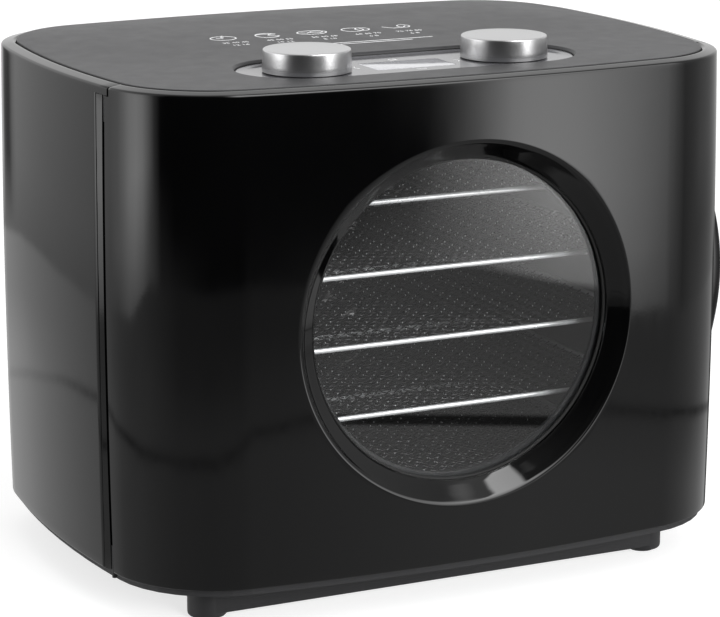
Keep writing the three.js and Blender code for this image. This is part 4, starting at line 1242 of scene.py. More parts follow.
    def hinge_column(self, parts: MeshParts) -> None:
        """Adds the column that turns about the hinge pins, flush with the wall.

        Its section is a circle about the hinge; where the circle would stand out of
        the wall, x is held at the wall's x for that y and height, less a depth that
        grows by column_fall per millimetre towards the front and ends in a groove.

        Args:
            parts: where the surfaces go.
        """
        fall_from, groove_from, flush, skin = 5.4, 1.1, 0.15, 0.05
        foot_bevel, top_bevel, step = 0.4, 0.3, 9.0
        low, high = extent("hinge_pin_lower")
        x, y = (low[:2] + high[:2]) / 2
        turn = circle(144)
        depth = y + self.column * np.sin(turn)
        wall_x = -np.array([PLAN.side(d) for d in depth])
        fall = self.column_fall * np.maximum(0.0, y + fall_from - depth)
        wall_x += flush + fall + self.groove * (depth < y + groove_from)
        heights = spaced(step, self.form.low + foot_bevel, self.part - top_bevel)
        levels = [(foot_bevel, self.form.low), *[(0.0, z) for z in heights]]
        levels.append((top_bevel, self.part))
        rings = []
        for inset, z in levels:
            across = x + (self.column - inset) * np.cos(turn)
            across = np.maximum(across, wall_x - self.form.belly(z) + skin + inset)
            ring_y = y + (self.column - inset) * np.sin(turn)
            rings.append(np.stack([across, ring_y, np.full(turn.shape, z)], -1))
        parts.capped(np.array(rings))

    def magnet_boss(self, parts: MeshParts) -> None:
        """Adds the pocket for the catch magnet and its bridge to the side wall.

        Args:
            parts: where the surfaces go.
        """
        corner, sunk, edge = 0.5, 1.0, 0.4
        low, high = extent("door_magnet")
        (x, _, z), (half_x, _, half_z) = (low + high) / 2, (high - low) / 2
        wall, room = self.boss_wall, self.magnet_room
        steps = ((wall, low[1] - wall), (wall, high[1]), (room, high[1]), (room, low[1] - room))
        rings = []
        for grow, y in steps:
            ring = round_box(half_x + grow, half_z + grow, corner, 4)
            rings.append(np.stack([x + ring[:, 0], np.full(len(ring), y), z + ring[:, 1]], -1))
        parts.capped(np.array(rings))
        wall_x = PLAN.side(self.seam_y) - self.form.wall / 2
        start = (x + half_x + sunk, low[1] - wall, z - half_z - wall)
        bar(parts, start, (wall_x, high[1], z + half_z + wall), edge)

    def pull(self) -> None:
        """The crescent pull.

        Along the crescent t runs from -1 to 1 and the reach is (1 - t * t) of the
        greatest reach; across it the section is a superellipse of the pull's
        thickness, thinner at the tip. Its root and its ends are sunk in the wall.
        """
        root, ends, blunt, full = 0.8, 0.6, 0.55, 0.75
        low, high = extent("door_pull")
        t = np.linspace(-1, 1, 61)
        turn = np.linspace(-np.pi / 2, np.pi / 2, 17)
        z = (low[2] + high[2]) / 2 + t * (high[2] - low[2]) / 2
        y_mid, half_y = (low[1] + high[1]) / 2, (high[1] - low[1]) / 2
        wall_x = self.form.surface(np.full(t.shape, PLAN.reach(y_mid)), z)[:, 0]
        reach = (high[0] - wall_x.max() + ends) * (1 - t**2) - ends
        cos = np.sign(np.cos(turn)) * np.abs(np.cos(turn)) ** blunt
        sin = np.sign(np.sin(turn)) * np.abs(np.sin(turn)) ** full
        x = wall_x[:, None] - root + (reach[:, None] + root) * cos
        y = y_mid + half_y * np.broadcast_to(sin, x.shape)
        points = np.stack([x, y, np.broadcast_to(z[:, None], x.shape)], -1)
        parts = MeshParts()
        parts.grid(points)
        parts.grid(np.stack([points[:, 0], points[:, -1]], 1))
        for end in (0, -1):
            parts.add(points[end], [list(range(len(turn)))])
        parts.piece("door_pull_lip", BLACK_GLOSS, "door", ["door_pull"])

    def seal(self) -> None:
        """The window's rubber ring: a flat band with a rounded inner bead.

        The section's points (radius, y) turn about the window's middle line: x is
        radius * cos(angle) and the height radius * sin(angle) from that line.
        """
        low, high = extent("window_gasket")
        (x, y_mid, z), (outer, half, _) = (low + high) / 2, (high - low) / 2
        inner, bead = self.sight - 0.9, 0.8
        turn = np.linspace(np.pi / 2, 3 * np.pi / 2, 9)
        round_edge = [(inner + bead + bead * math.cos(a), y_mid + half * math.sin(a)) for a in turn]
        section = np.array([(outer, high[1]), *round_edge, (outer, low[1])])
        radius, y = section[:, :1], section[:, 1:]
        spin = circle(144)
        across, up = radius * np.cos(spin), radius * np.sin(spin)
        rings = np.stack([x + across, np.broadcast_to(y, across.shape), z + up], -1)
        parts = MeshParts()
        parts.grid(np.concatenate([rings, rings[:1]]), True)
        parts.piece("window_seal", BLACK_RUBBER, "door", ["window_gasket"])


@dataclass
class Cabinet:
    """The fixed shell: sides, back and the rear of the rim, with its two openings."""

    form: ShellForm
    seam_y: float = -67.6
    rim_y: float = -79.6
    relief: float = 6.6
    rim_relief: float = 7.6
    column_step: float = 2.4
    column_margin: float = 6.0
    vent_margin: float = 8.0
    inlet_room: float = 0.3

    def build(self) -> None:
        """Builds the cabinet's shell."""
        form = self.form
        vent_low, vent_high = self.opening("rear_vent", self.vent_margin)
        inlet_low, inlet_high = self.opening("power_inlet", -self.inlet_room)
        inlet_z, vent_z = (inlet_low[2], inlet_high[2]), (vent_low[2], vent_high[2])
        outer_rows, inner_rows, wall_rows = form.profile(form.rim_under, *inlet_z, *vent_z)
        middle, whole = 2 * PLAN.quarter, 4 * PLAN.quarter
        corners = (vent_high, vent_low, inlet_high, inlet_low)
        back = [middle - float(PLAN.across(corner[0])) for corner in corners]
        reach = PLAN.reach(self.seam_y + self.column_margin)
        columns = spaced(self.column_step, reach, *back, whole - reach)
        ends = self.ends(outer_rows, wall_rows)
        outer = form.sheet(outer_rows, columns, ends, form.end_bevel)
        inner = form.sheet(inner_rows, columns, self.ends(inner_rows, wall_rows))
        rows = outer_rows[:, 1]
        edges = [nearest(columns, distance) + form.end_columns for distance in back]
        holes = [
            Opening((nearest(rows, low), nearest(rows, high)), tuple(sides))
            for (low, high), sides in ((vent_z, edges[:2]), (inlet_z, edges[2:]))
        ]
        parts = MeshParts()
        shell_faces(parts, outer, inner, holes)
        for hole in holes:
            parts.grid(np.stack([hole.loop(outer), hole.loop(inner)]), True)
        parts.piece("cabinet_moulding", BLACK_GLOSS, "cabinet", ["cabinet_shell"])

    @staticmethod
    def opening(node: str, inside: float) -> tuple[Array, Array]:
        """A node's corners, moved towards its middle by an amount."""
        low, high = extent(node)
        return low + inside, high - inside

    def ends(self, rows: Array, wall_rows: int) -> tuple[Array, Array]:
        """The distances at which each row meets the seams, with room for the hinge.

        On the hinge's side a row ends on a circle about the hinge: its depth is the
        hinge's plus or minus the root of radius squared less the offset squared.

        Args:
            rows: (inset, height) of each row.
            wall_rows: how many of them belong to the wall.

        Returns:
            Where each row starts, and where it stops.
        """
        low, high = extent("hinge_pin_lower")
        hinge = (low[:2] + high[:2]) / 2
        first, last = [], []
        for index, (inset, z) in enumerate(rows):
            wall = index < wall_rows
            depth = self.seam_y if wall else self.rim_y
            moved = inset - float(self.form.belly(z))
            first.append(PLAN.reach(depth, moved))
            x = PLAN.point(np.array([4 * PLAN.quarter - first[-1]]), moved)[0, 0]
            radius = self.relief if wall else self.rim_relief
            room = math.sqrt(max(0.0, radius**2 - (x - hinge[0]) ** 2))
            if wall:
                depth = max(depth, hinge[1] + room)
            elif x < hinge[0]:
                depth = max(depth, hinge[1] - room)
            last.append(4 * PLAN.quarter - PLAN.reach(depth, moved))
        return np.array(first), np.array(last)


# ------------------------------------------------------------------ top and controls


def oval(a: float, b: float, start: float = 0.0, stop: float = 360.0) -> Array:
    """Points of an ellipse, or of a stretch of one.

    Args:
        a: its reach along x.
        b: its reach along y.
        start: the angle at which it starts, in degrees.
        stop: the angle at which it stops.

    Returns:
        Points, two numbers each.
    """
    turn = np.radians(np.linspace(start, stop, 49))
    return np.stack([a * np.cos(turn), b * np.sin(turn)], -1)


def strokes(*knots: tuple[float, float]) -> Array:
    """Points of a bent line, eight to each straight stretch between its knots.

    Args:
        knots: where it starts, bends and stops.

    Returns:
        Points, two numbers each.
    """
    x, y = np.array(knots, float).T
    share = np.linspace(0, len(knots) - 1, 8 * (len(knots) - 1) + 1)
    return np.stack([np.interp(share, np.arange(len(knots)), part) for part in (x, y)], -1)


@dataclass
class FoodMark:
    """A plain food outline over its figures: degrees and hours, each row by its first."""

    x: float
    degrees: int
    hours: int
    lines: Sequence[tuple[Array, tuple[float, float]]]


FOOD_MARKS = (
    FoodMark(-66.0, 35, 12, (
        (oval(7.2, 5.6), (0.0, 0.0)),
        (strokes((0.4, 1.0), (0.2, 4.2), (2.4, 7.4)), (0.0, 0.0)),
        (oval(2.2, 1.5, 200, 380), (-1.5, 2.0)),
    )),
    FoodMark(-39.8, 45, 10, (
        (oval(6.6, 6.4, 25, 335), (0.0, 0.0)),
        (oval(3.4, 2.6, 60, 300), (4.2, 0.0)),
        (strokes((-5.2, 3.0), (-1.5, 4.6), (2.0, 3.4), (5.0, 4.4)), (0.0, 0.0)),
    )),
    FoodMark(-13.0, 55, 8, (
        (oval(8.6, 5.4), (0.0, 0.0)),
        (oval(3.6, 2.4), (3.0, 0.6)),
        (strokes((-6.2, 1.2), (-3.4, -1.4), (-1.2, 0.8)), (0.0, 0.0)),
    )),
    FoodMark(13.4, 60, 6, (
        (oval(6.2, 5.4, 40, 390), (-1.6, 0.0)),
        (oval(3.9, 4.2), (4.4, 0.0)),
    )),
    FoodMark(38.6, 70, 6, (
        (strokes((-7.6, 2.2), (-3.0, -3.4), (3.0, -3.0), (6.6, 1.4)), (0.0, 0.0)),
        (oval(3.4, 4.0), (5.2, 1.0)),
    )),
)


@dataclass
class TopDeck:
    """The satin top panel, the gloss inlay in its recess, the display and the marks.

    The panel's height is the rim's plus a crown that grows with the distance from
    the edge and towards the back, plus a lift along its rear edge.
    """

    form: ShellForm
    inset: float = 8.4
    crown: float = 2.6
    crown_run: float = 48.0
    back_lift: float = 0.9
    thickness: float = 4.4
    recess_depth: float = 1.5
    plate_thickness: float = 1.2
    lens_gap: float = 0.15
    food_y: float = 29.5
    degrees_y: float = 15.6
    hours_y: float = 8.4
    figure_size: float = 4.4
    figure_shift: float = 1.5
    line_width: float = 0.8
    count: int = 480
    edge_count: int = 1600
    face_rings: int = 64

    def __post_init__(self) -> None:
        """Finds the controls' centre and the angles that all rings share."""
        low, high = extent("control_inlay")
        self.centre = ((low + high) / 2)[:2]
        self.half = ((high - low) / 2)[:2]
        self.inlay_top = high[2]
        even = evened(stadium(self.half[0], self.half[1]), self.count)
        self.angles = np.arctan2(even[:, 1], even[:, 0])
        self.edge = PLAN.outline(self.inset, self.edge_count)

    def build(self) -> None:
        """Builds every piece of the top."""
        self.panel()
        self.inlay()
        self.lens()
        self.panel_marks()
        self.plate_marks()

    def ring(self, outline: Array) -> Array:
        """An outline about the controls' centre, sampled at the shared angles.

        Args:
            outline: a star-shaped outline about the centre.

        Returns:
            Plan points, one at each angle.
        """
        fine = evened(outline, 4000)
        own = np.arctan2(fine[:, 1], fine[:, 0])
        order = np.argsort(own)
        radius = np.hypot(fine[:, 0], fine[:, 1])[order]
        reach = np.interp(self.angles, own[order], radius, period=2 * np.pi)
        flat = np.stack([reach * np.cos(self.angles), reach * np.sin(self.angles)], -1)
        return flat + self.centre

    def plate_ring(self, grow: float) -> Array:
        """The inlay's outline, grown by an amount, as a ring."""
        return self.ring(stadium(self.half[0] + grow, self.half[1] + grow))

    def panel_ring(self, shrink: float) -> Array:
        """The panel's outline, shrunk by an amount, as a ring."""
        return self.ring(PLAN.outline(self.inset + shrink, self.edge_count) - self.centre)

    def flat_ring(self, ring: Array, z: float) -> Array:
        """A ring laid level at a height."""
        return np.c_[ring, np.full(self.count, z)]

    def height(self, flat: Array) -> Array:
        """The panel's height at plan points.

        With share = sin(90 degrees * distance from the edge / crown_run), it is the
        rim's height + crown * share * a smooth rise from front to back + back_lift *
        a smooth rise behind that.

        Args:
            flat: plan points, two numbers each.

        Returns:
            A height for each.
        """
        apart = flat[:, None] - self.edge[None]
        distance = np.sqrt((apart**2).sum(-1).min(-1))
        y = flat[:, 1]
        front, back = self.centre[1] + self.half[1], -self.edge[:, 1].min()
        share = np.sin(np.minimum(1.0, distance / self.crown_run) * np.pi / 2)
        crown = self.crown * share * smooth(y, front, back / 2)
        return self.form.rim_top + crown + self.back_lift * smooth(y, back / 2, back)

    def plate_height(self, flat: Array) -> Array:
        """The inlay's height at plan points."""
        return np.full(len(flat), self.inlay_top)

    def at(self, flat: Array, drop: float = 0.0) -> Array:
        """Plan points put on the panel's face, lowered by drop."""
        return np.c_[flat, self.height(flat) - drop]

    def panel(self) -> None:
        """The panel: rings from its outer edge to the recess that takes the inlay."""
        rounded_edge = ((0.0, 0.55), (0.08, 0.28), (0.26, 0.08), (0.55, 0.0))
        recess_edge = ((1.75, 0.03), (1.45, 0.16), (0.55, 1.06), (0.36, 1.32), (0.3, 1.7))
        rings = [self.flat_ring(self.panel_ring(0.0), self.form.rim_top - self.thickness)]
        rings += [self.at(self.panel_ring(shrink), drop) for shrink, drop in rounded_edge]
        wide, near = self.panel_ring(1.4), self.plate_ring(2.2)
        shares = np.linspace(0, 1, self.face_rings)
        rings += [self.at(wide + (near - wide) * share) for share in shares]
        rings += [self.at(self.plate_ring(grow), drop) for grow, drop in recess_edge]
        rings.append(self.flat_ring(rings[-1][:, :2], self.inlay_top - self.recess_depth))
        parts = MeshParts()
        parts.capped(np.array(rings))
        parts.piece("top_cover", GREY_SATIN, "cabinet", ["top_panel"], crease=50)

    def inlay(self) -> None:
        """The inlay: a plate with a turned-up edge and a window for the display."""
        top, (lens_low, lens_high) = self.inlay_top, extent("display_lens")
        hole = round_box(*((lens_high - lens_low)[:2] / 2 + self.lens_gap), 2.0, 12)
        levels = ((0.5, -1.2), (0.1, -1.1), (0.0, -0.9), (0.0, 0.28), (0.12, 0.44), (0.4, 0.5))
        levels += ((0.8, 0.46), (1.6, 0.34), (2.8, 0.16), (4.4, 0.04), (6.2, 0.0))
        rings = [self.flat_ring(self.plate_ring(-shrink), top + rise) for shrink, rise in levels]
        last, inner = rings[-1][:, :2], self.ring(hole)
        for share in (0.4, 0.8, 1.0):
            rings.append(self.flat_ring(last + (inner - last) * share, top))
        rings.append(self.flat_ring(inner, top - self.plate_thickness))
        parts = MeshParts()
        parts.grid(np.array(rings), True)
        parts.grid(np.stack([rings[-1], rings[0]]), True)
        parts.piece("control_plate", INLAY_GLOSS, "cabinet", ["control_inlay"], crease=50)

    def lens(self) -> None:
        """The display's lens, a little proud of the inlay."""
        inset, proud, edge = 0.1, 0.04, 0.2
        low, high = extent("display_lens")
        half = (high - low) / 2
        outline = round_box(half[0] - inset, half[1] - inset, 1.9, 12) + ((low + high) / 2)[:2]
        parts = MeshParts()
        slab(parts, outline, low[2], high[2] + proud, edge)
        parts.piece("display_window", LENS_GREY, "cabinet", ["display_lens"])

    @staticmethod
    def stroke(parts: MeshParts, path: Array, width: float, level: Callable) -> None:
        """Adds a printed line: a low ribbon that follows a path.

        Args:
            parts: where it goes.
            path: plan points.
            width: the line's width.
            level: gives the height of the printed face at plan points.
        """
        sink, rise = -0.02, 0.05
        along = np.gradient(path, axis=0)
        along /= np.linalg.norm(along, axis=1, keepdims=True)
        side = np.stack([-along[:, 1], along[:, 0]], -1) * width / 2
        corners = []
        for sign, lift in ((-1, sink), (1, sink), (1, rise), (-1, rise)):
            flat = path + sign * side
            corners.append(np.c_[flat, level(flat) + lift])
        parts.capped(np.stack(corners, 1))

    def figures(self, parts: MeshParts, text: str, place: Sequence[float]) -> None:
        """Adds printed figures whose middle stands at a place on the panel.

        Args:
            parts: where they go.
            text: the figures.
            place: x and y of their middle.
        """
        relief, lift = 0.035, 0.01
        curve = bpy.data.curves.new("figures", "FONT")
        curve.body, curve.size, curve.extrude = text, self.figure_size, relief
        curve.align_x, curve.align_y, curve.resolution_u = "CENTER", "CENTER", 2
        holder = bpy.data.objects.new("figures", curve)
        bpy.context.scene.collection.objects.link(holder)
        mesh = holder.evaluated_get(bpy.context.evaluated_depsgraph_get()).to_mesh()
        points = np.array([tuple(v.co) for v in mesh.vertices])
        faces = [tuple(f.vertices) for f in mesh.polygons]
        flat = points[:, :2] + np.array(place)
        parts.add(np.c_[flat, self.height(flat) + points[:, 2] + lift], faces)
        bpy.data.objects.remove(holder)
        bpy.data.curves.remove(curve)

    def panel_marks(self) -> None:
        """Plain food outlines, rows of figures, and two lines beneath them."""
        parts = MeshParts()
        for mark in FOOD_MARKS:
            for path, (x, y) in mark.lines:
                place = np.array([mark.x + x, self.food_y + y])
                self.stroke(parts, path + place, self.line_width, self.height)
        for mark in FOOD_MARKS:
            x, degrees, hours = mark.x + self.figure_shift, mark.degrees, mark.hours
            self.figures(parts, f"{degrees} {degrees + 5} {degrees + 10}", (x, self.degrees_y))
            self.figures(parts, f"{hours} {hours + 2}", (x, self.hours_y))
        start, width = -20.0, 1.0
        for stop, y in ((44.0, -5.0), (30.0, -9.0)):
            self.stroke(parts, strokes((start, y), (stop, y)), width, self.height)
        parts.piece("panel_marks", PRINT_WHITE, "cabinet", slot="display_grey")

    def plate_marks(self) -> None:
        """Short marks on the inlay, on each side of the display, behind and ahead."""
        beside, behind, ahead = 26.0, 17.5, -17.0
        thick, thin = 0.6, 0.45
        parts = MeshParts()
        arc = oval(4.2, 4.2, -48, 48)
        marks = [(arc * [side, 1], (side * beside, 0.0), thick) for side in (-1, 1)]
        marks.append((oval(2.0, 1.6, 110, 430), (0.0, behind), thin))
        marks.append((strokes((-2.2, -2.0), (2.2, -2.0)), (0.0, behind), thin))
        marks.append((strokes((-3.0, 0.0), (3.0, 0.0)), (0.0, ahead), thick))
        for path, place, width in marks:
            self.stroke(parts, path + self.centre + np.array(place), width, self.plate_height)
        parts.piece("plate_marks", PRINT_WHITE, "cabinet", slot="display_grey")


class Side(Enum):
    """On which side of the display a dial stands."""

    LEFT = "left"
    RIGHT = "right"


@dataclass
class Dials:
    """The two turned aluminium knobs: radii, walls and drops from the top of each."""

    base: float = 23.3
    crest: float = 22.8
    flat: float = 12.0
    face_drop: float = 0.1
    roof_drop: float = 2.5
    skirt_wall: float = 2.4
    socket: float = 5.7
    bore: float = 3.3

    def build(self) -> None:
        """Builds both knobs."""
        for side in Side:
            self.knob(side)

    def knob(self, side: Side) -> None:
        """One knob: a profile turned about its axis, hollow underneath.

        The profile's (radius, height) points run from the middle of the face over
        its raised ring, down the skirt, and up inside round the shaft's socket.

        Args:
            side: which knob.
        """
        node = f"knob_{side.value}"
        box_low, box_high = extent(node)
        centre, low, top = ((box_low + box_high) / 2)[:2], box_low[2], box_high[2]
        r, crest, roof = self.base, self.crest, top - self.roof_drop
        face, ceiling, lip = top - self.face_drop, roof - 1, low + 0.5
        profile = [(0.0, face), (self.flat, face), (crest - 1.5, top - 0.06)]
        profile += [(crest - 1.0, top), (crest - 0.62, top - 0.04), (crest - 0.3, top - 0.2)]
        profile += [(crest - 0.08, top - 0.5), (crest, top - 0.95)]
        for share in (0.3, 0.65, 1.0):
            drop = (low + 1.35 - top) * share
            profile.append((crest + (r - crest) * share, top - 0.95 + drop))
        profile += [(r - 0.06, low + 0.16), (r - 0.3, low), (r - self.skirt_wall, low)]
        profile += [(r - self.skirt_wall, ceiling), (self.socket, ceiling), (self.socket, lip)]
        profile += [(self.bore, lip), (self.bore, roof), (0.0, roof)]
        parts = MeshParts()
        parts.lathe(profile, centre, 160)
        axis = tuple(ORIGIN[:2] + np.array(centre) * MM)
        grey = (0.66, 0.66, 0.665)
        metal = SpunMetal(f"spun_aluminium_{side.value}", grey, 0.3, 1.0, centre=axis)
        parts.piece(f"dial_{side.value}", metal, f"{side.value}_knob", [node], crease=40)


# ------------------------------------------------------------------ trays and feet

# An eight-sided bead of unit size, as corners and faces.
BEAD = np.array([(-1, 0, 0), (0, -1, 0), (1, 0, 0), (0, 1, 0), (0, 0, 1), (0, 0, -1)])
BEAD_FACES = np.array(
    [[a, (a + 1) % 4, 4] for a in range(4)] + [[(a + 1) % 4, a, 5] for a in range(4)]
)


@dataclass
class Tray:
    """One tray: a bent rod and a mesh of bent wires that hook into each other.

    Wire j swings between knot rows j and j + 1. With c = cos(pi * (x / knot + j)) and
    k for sharpness, its swing is arcsin(k * c) / arcsin(k), a zigzag with rounded
    ends; its plan offset and its height both follow the swing, so it hooks over one
    row and under the next. A path has samples points to each knot.
    """

    number: int
    corner: float = 32.0
    knot: float = 8.6
    row: float = 4.4
    wire: float = 0.33
    tip: float = 0.52
    lift: float = 1.1
    sharpness: float = 0.93
    samples: int = 4

    def __post_init__(self) -> None:
        """Finds the tray's name, middle, size and rod."""
        self.name = f"tray_{self.number}"
        low, high = extent(f"tray_frame_{self.number}")
        self.half = (high - low) / 2
        self.centre = (high + low) / 2
        self.rod = self.half[2]

    def build(self) -> None:
        """Builds the rod and the mesh."""
        self.bent_rod()
        self.linked_mesh()

    def bent_rod(self) -> None:
        """The rod's loop."""
        half = self.half[:2] - self.rod
        loop = round_box(half[0], half[1], self.corner - self.rod, 28)
        path = np.c_[loop, np.zeros(len(loop))] + self.centre
        parts = MeshParts()
        parts.tube(path, self.rod, 14, True)
        replaced = [f"tray_frame_{self.number}"]
        parts.piece(f"{self.name}_rod", BRIGHT_WIRE, self.name, replaced)

    def room(self, offset: float) -> float:
        """Half the length that a wire has at an offset from the tray's middle.

        Args:
            offset: how far the wire lies from the middle.

        Returns:
            The reach from the middle to the rod's inner side.
        """
        along, across = self.half[:2]
        inset = 1.5 * self.rod
        corner = self.corner - inset
        over = abs(offset) - (across - self.corner)
        if over <= 0:
            return along - inset
        return along - self.corner + math.sqrt(max(0.0, corner**2 - over**2))

    def bent_wire(self, index: int, count: int) -> tuple[Array, Array]:
        """The middle line of one wire of the mesh.

        Args:
            index: the wire's place, counted from the front.
            count: how many wires the mesh has.

        Returns:
            Its points, and at each the swing, from -1 to 1.
        """
        offset = (index + 0.5 - count / 2) * self.row
        reach = self.room(abs(offset) + self.row / 2)
        turns = int(reach / self.knot * 2) / 2
        steps = np.linspace(-turns, turns, int(2 * turns * self.samples) + 1)
        swing = np.cos(np.pi * (steps + index))
        swing = np.arcsin(self.sharpness * swing) / math.asin(self.sharpness)
        across = offset + swing * self.row / 2
        path = np.stack([steps * self.knot, across, swing * self.lift], -1)
        return path + self.centre, swing

    def linked_mesh(self) -> None:
        """Every wire of the mesh, and a bead on each hook of every other wire, painted light as a
        glint.
        """
        count = int((2 * self.half[1] - 3.0 * self.rod) // self.row)
        wires, hooks = MeshParts(), MeshParts()
        for index in range(count):
            path, swing = self.bent_wire(index, count)
            wires.tube(path, self.wire, 5)
            # Beads in the light hook material: painted glints on the knots.
            if index % 2:
                tips = path[np.abs(np.abs(swing) - 1) < 1e-6][1:-1]
                faces = np.arange(len(tips))[:, None, None] * len(BEAD) + BEAD_FACES
                hooks.add(tips[:, None] + self.tip * BEAD, faces.reshape(-1, 3))
        replaced = [f"tray_mesh_{self.number}"]
        wires.piece(f"{self.name}_links", SHADED_MESH_WIRE, self.name, replaced, crease=80)
        hooks.piece(f"{self.name}_hooks", HOOK_GLINT, self.name, slot="chrome_wire")


@dataclass
class FootRail:
    """A bar between two round feet, each with a recess for its rubber pad."""

    node: str
    foot: float = 10.4
    thickness: float = 8.0
    clear: float = 3.6
    edge: float = 0.9
    pad: float = 7.3
    pad_depth: float = 1.7

    def build(self) -> None:
        """Builds the rail with its feet."""
        low, high = extent(self.node)
        front = low[1] + high[1] < 0
        y = low[1] + self.foot if front else high[1] - self.foot
        near = low[1] if front else high[1] - self.thickness
        far = low[1] + self.thickness if front else high[1]
        parts = MeshParts()
        x_reach = high[0] - self.foot
        bar(parts, (-x_reach, near, self.clear), (x_reach, far, high[2]), self.edge)
        r, pad, roof, z0, z1 = self.foot, self.pad, low[2] + self.pad_depth, low[2], high[2]
        section = [(0.0, roof), (pad, roof), (pad, z0 + 0.2), (pad + 0.3, z0), (r - 1.7, z0)]
        section += [(r - 0.8, z0 + 0.3), (r - 0.2, z0 + 0.95), (r, z0 + 2), (r, z1 - 0.4)]
        section += [(r - 0.4, z1), (0.0, z1)]
        for x in (-x_reach, x_reach):
            parts.lathe(section, (x, y), 72)
        parts.piece(f"{self.node}_moulding", DARK_MATT, "cabinet", [self.node])


# ------------------------------------------------------------------ carried-over pieces

NODE_FINISHES: dict[str, Finish] = {
    "cabinet_frame": SEAM_GREY,
    "catch_plate": PLAIN_STEEL,
    "chamber_liner": DARK_SHEET,
    "tray_runner_left": DARK_MATT,
    "tray_runner_right": DARK_MATT,
    "fan_grille": DARK_SHEET,
    "fan_shroud": DARK_MATT,
    "fan_motor": PLAIN_STEEL,
    "fan_impeller": DARK_MATT,
    "heating_element": PLAIN_STEEL,
    "heater_clip_left": PLAIN_STEEL,
    "heater_clip_right": PLAIN_STEEL,
    "rear_vent": DARK_MATT,
    "power_inlet": DARK_MATT,
    "base_plate": DARK_MATT,
    "foot_pad_front_left": BLACK_RUBBER,
    "foot_pad_front_right": BLACK_RUBBER,
    "foot_pad_rear_left": BLACK_RUBBER,
    "foot_pad_rear_right": BLACK_RUBBER,
    "control_housing": DARK_MATT,
    "display_module": DARK_MATT,
    "control_board": BOARD_GREEN,
    "encoder_body_left": PLAIN_STEEL,
    "encoder_body_right": PLAIN_STEEL,
    "encoder_shaft_left": PLAIN_STEEL,
    "encoder_shaft_right": PLAIN_STEEL,
    "door_magnet": PLAIN_STEEL,
    "window_glass": PANE,
    "door_liner": DARK_MATT,
    "hinge_pin_lower": DARK_SHEET,
    "hinge_pin_upper": DARK_SHEET,
}


def dress_nodes() -> None:
    """Gives each node that stays in view its finish."""
    for name, finish in NODE_FINISHES.items():
        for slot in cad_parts[name].material_slots:
            slot.material = finish.material()
        log.info("%s: dressed in %s", name, finish.name)


# ------------------------------------------------------------------ studio

# How far the backdrop's lower edge rises, plus 2, and how far the table's edge falls
# below 14 degrees down: by compass angle from the front, towards the door pull.
EDGE_RISE: Stops = [
    (-180, 3.3), (-169, 3.15), (-162, 2.77), (-156, 2.37), (-148, 1.85), (-137, 1.6),
    (-110, 1.48), (-86, 2.5), (-60, 2.3), (0, 2.4), (27.4, 2.45), (30.5, 1.9), (42, 1.45),
    (70, 1.5), (180, 3.3),
]
LINE_DROP: Stops = [
    (-180, 0.8), (-171, 0.87), (-157, 1.03), (-148, 1.42), (-135, 2.17), (-100, 3.0),
    (-58, 3.49), (-24, 3.55), (0, 3.1), (11.6, 2.6), (24, 1.65), (31, 1.65), (38, 2.1),
    (44, 2.4), (90, 2.0), (180, 0.8),
]
LINE_DEPTH: Stops = [
    (-180, 0.12), (-160, 0.2), (-148, 0.6), (-135, 0.85), (90, 0.85), (180, 0.12),
]

# Brightness of the mirrored studio by compass angle, one row for each elevation.
# The band behind the vent is dark, so that nothing bright is seen through the fan.
BEHIND_VENT: Stops = [(134, 0.05), (164, 0.05)]
DOWN: Stops = [(-180, 0.1), (180, 0.1)]
NEAR: Stops = [(-180, 0.55), (-60, 0.33), (-20, 0.33), (30, 0.4), (110, 0.3), (180, 0.55)]
FLOOR_17: Stops = [
    (-180, 0.75), (-169, 0.72), (-148, 0.5), (-127, 0.42), (-100, 0.45), (-60, 0.33),
    (-30, 0.3), (0, 0.32), (12, 0.36), (26, 0.51), (33, 0.55), (45, 0.5), (88, 0.72),
    (126, 0.65), *BEHIND_VENT, (172, 0.7), (180, 0.75),
]
FLOOR_15: Stops = [
    (-180, 0.76), (-169, 0.74), (-150, 0.52), (-115, 0.42), (-90, 0.4), (-58, 0.2),
    (-30, 0.17), (0, 0.19), (12, 0.26), (26, 0.5), (39, 0.42), (83, 0.42), (126, 0.55),
    *BEHIND_VENT, (172, 0.7), (180, 0.76),
]
FLOOR_14: Stops = [
    (-180, 0.62), (-169, 0.6), (-156, 0.56), (-148, 0.5), (-137, 0.4), (-110, 0.38),
    (-98, 0.38), (-84, 0.3), (-57, 0.16), (0, 0.14), (14, 0.2), (26, 0.42), (39, 0.4),
    (44, 0.36), (80, 0.45), (126, 0.5), *BEHIND_VENT, (172, 0.6), (180, 0.62),
]
WALL_13: Stops = [
    (-180, 0.36), (-169, 0.37), (-156, 0.39), (-148, 0.39), (-125, 0.5), (-112, 0.9),
    (-100, 1.2), (-93, 1.05), (-84, 0.7), (-74, 0.2), (-57, 0.12), (-28, 0.01), (0, 0.01),
    (12, 0.06), (24.5, 0.24), (26.4, 0.4), (27.6, 0.9), (29.6, 1.6), (33, 1.55), (41, 1.47),
    (44, 1.0), (46, 0.6), (62, 0.3), (77, 0.4), (126, 0.4), *BEHIND_VENT, (172, 0.36),
    (180, 0.36),
]
WALL_11: Stops = [
    (-180, 0.8), (-177.5, 0.5), (-174.5, 0.12), (-172.3, 0.1), (-171.2, 0.5), (-156, 0.5),
    (-137, 0.55), (-120, 1.1), (-102, 2.2), (-93, 1.95), (-84, 0.75), (-74, 0.12), (-60, 0.02),
    (0, 0.02), (20, 0.04), (25.5, 0.06), (27.1, 0.45), (28.2, 1.5), (29.4, 2.5), (31, 2.7),
    (38.5, 2.9), (42, 2.05), (44, 1.35), (45.5, 0.85), (62, 0.3), (74, 0.36), (113, 0.35),
    (180, 0.8),
]
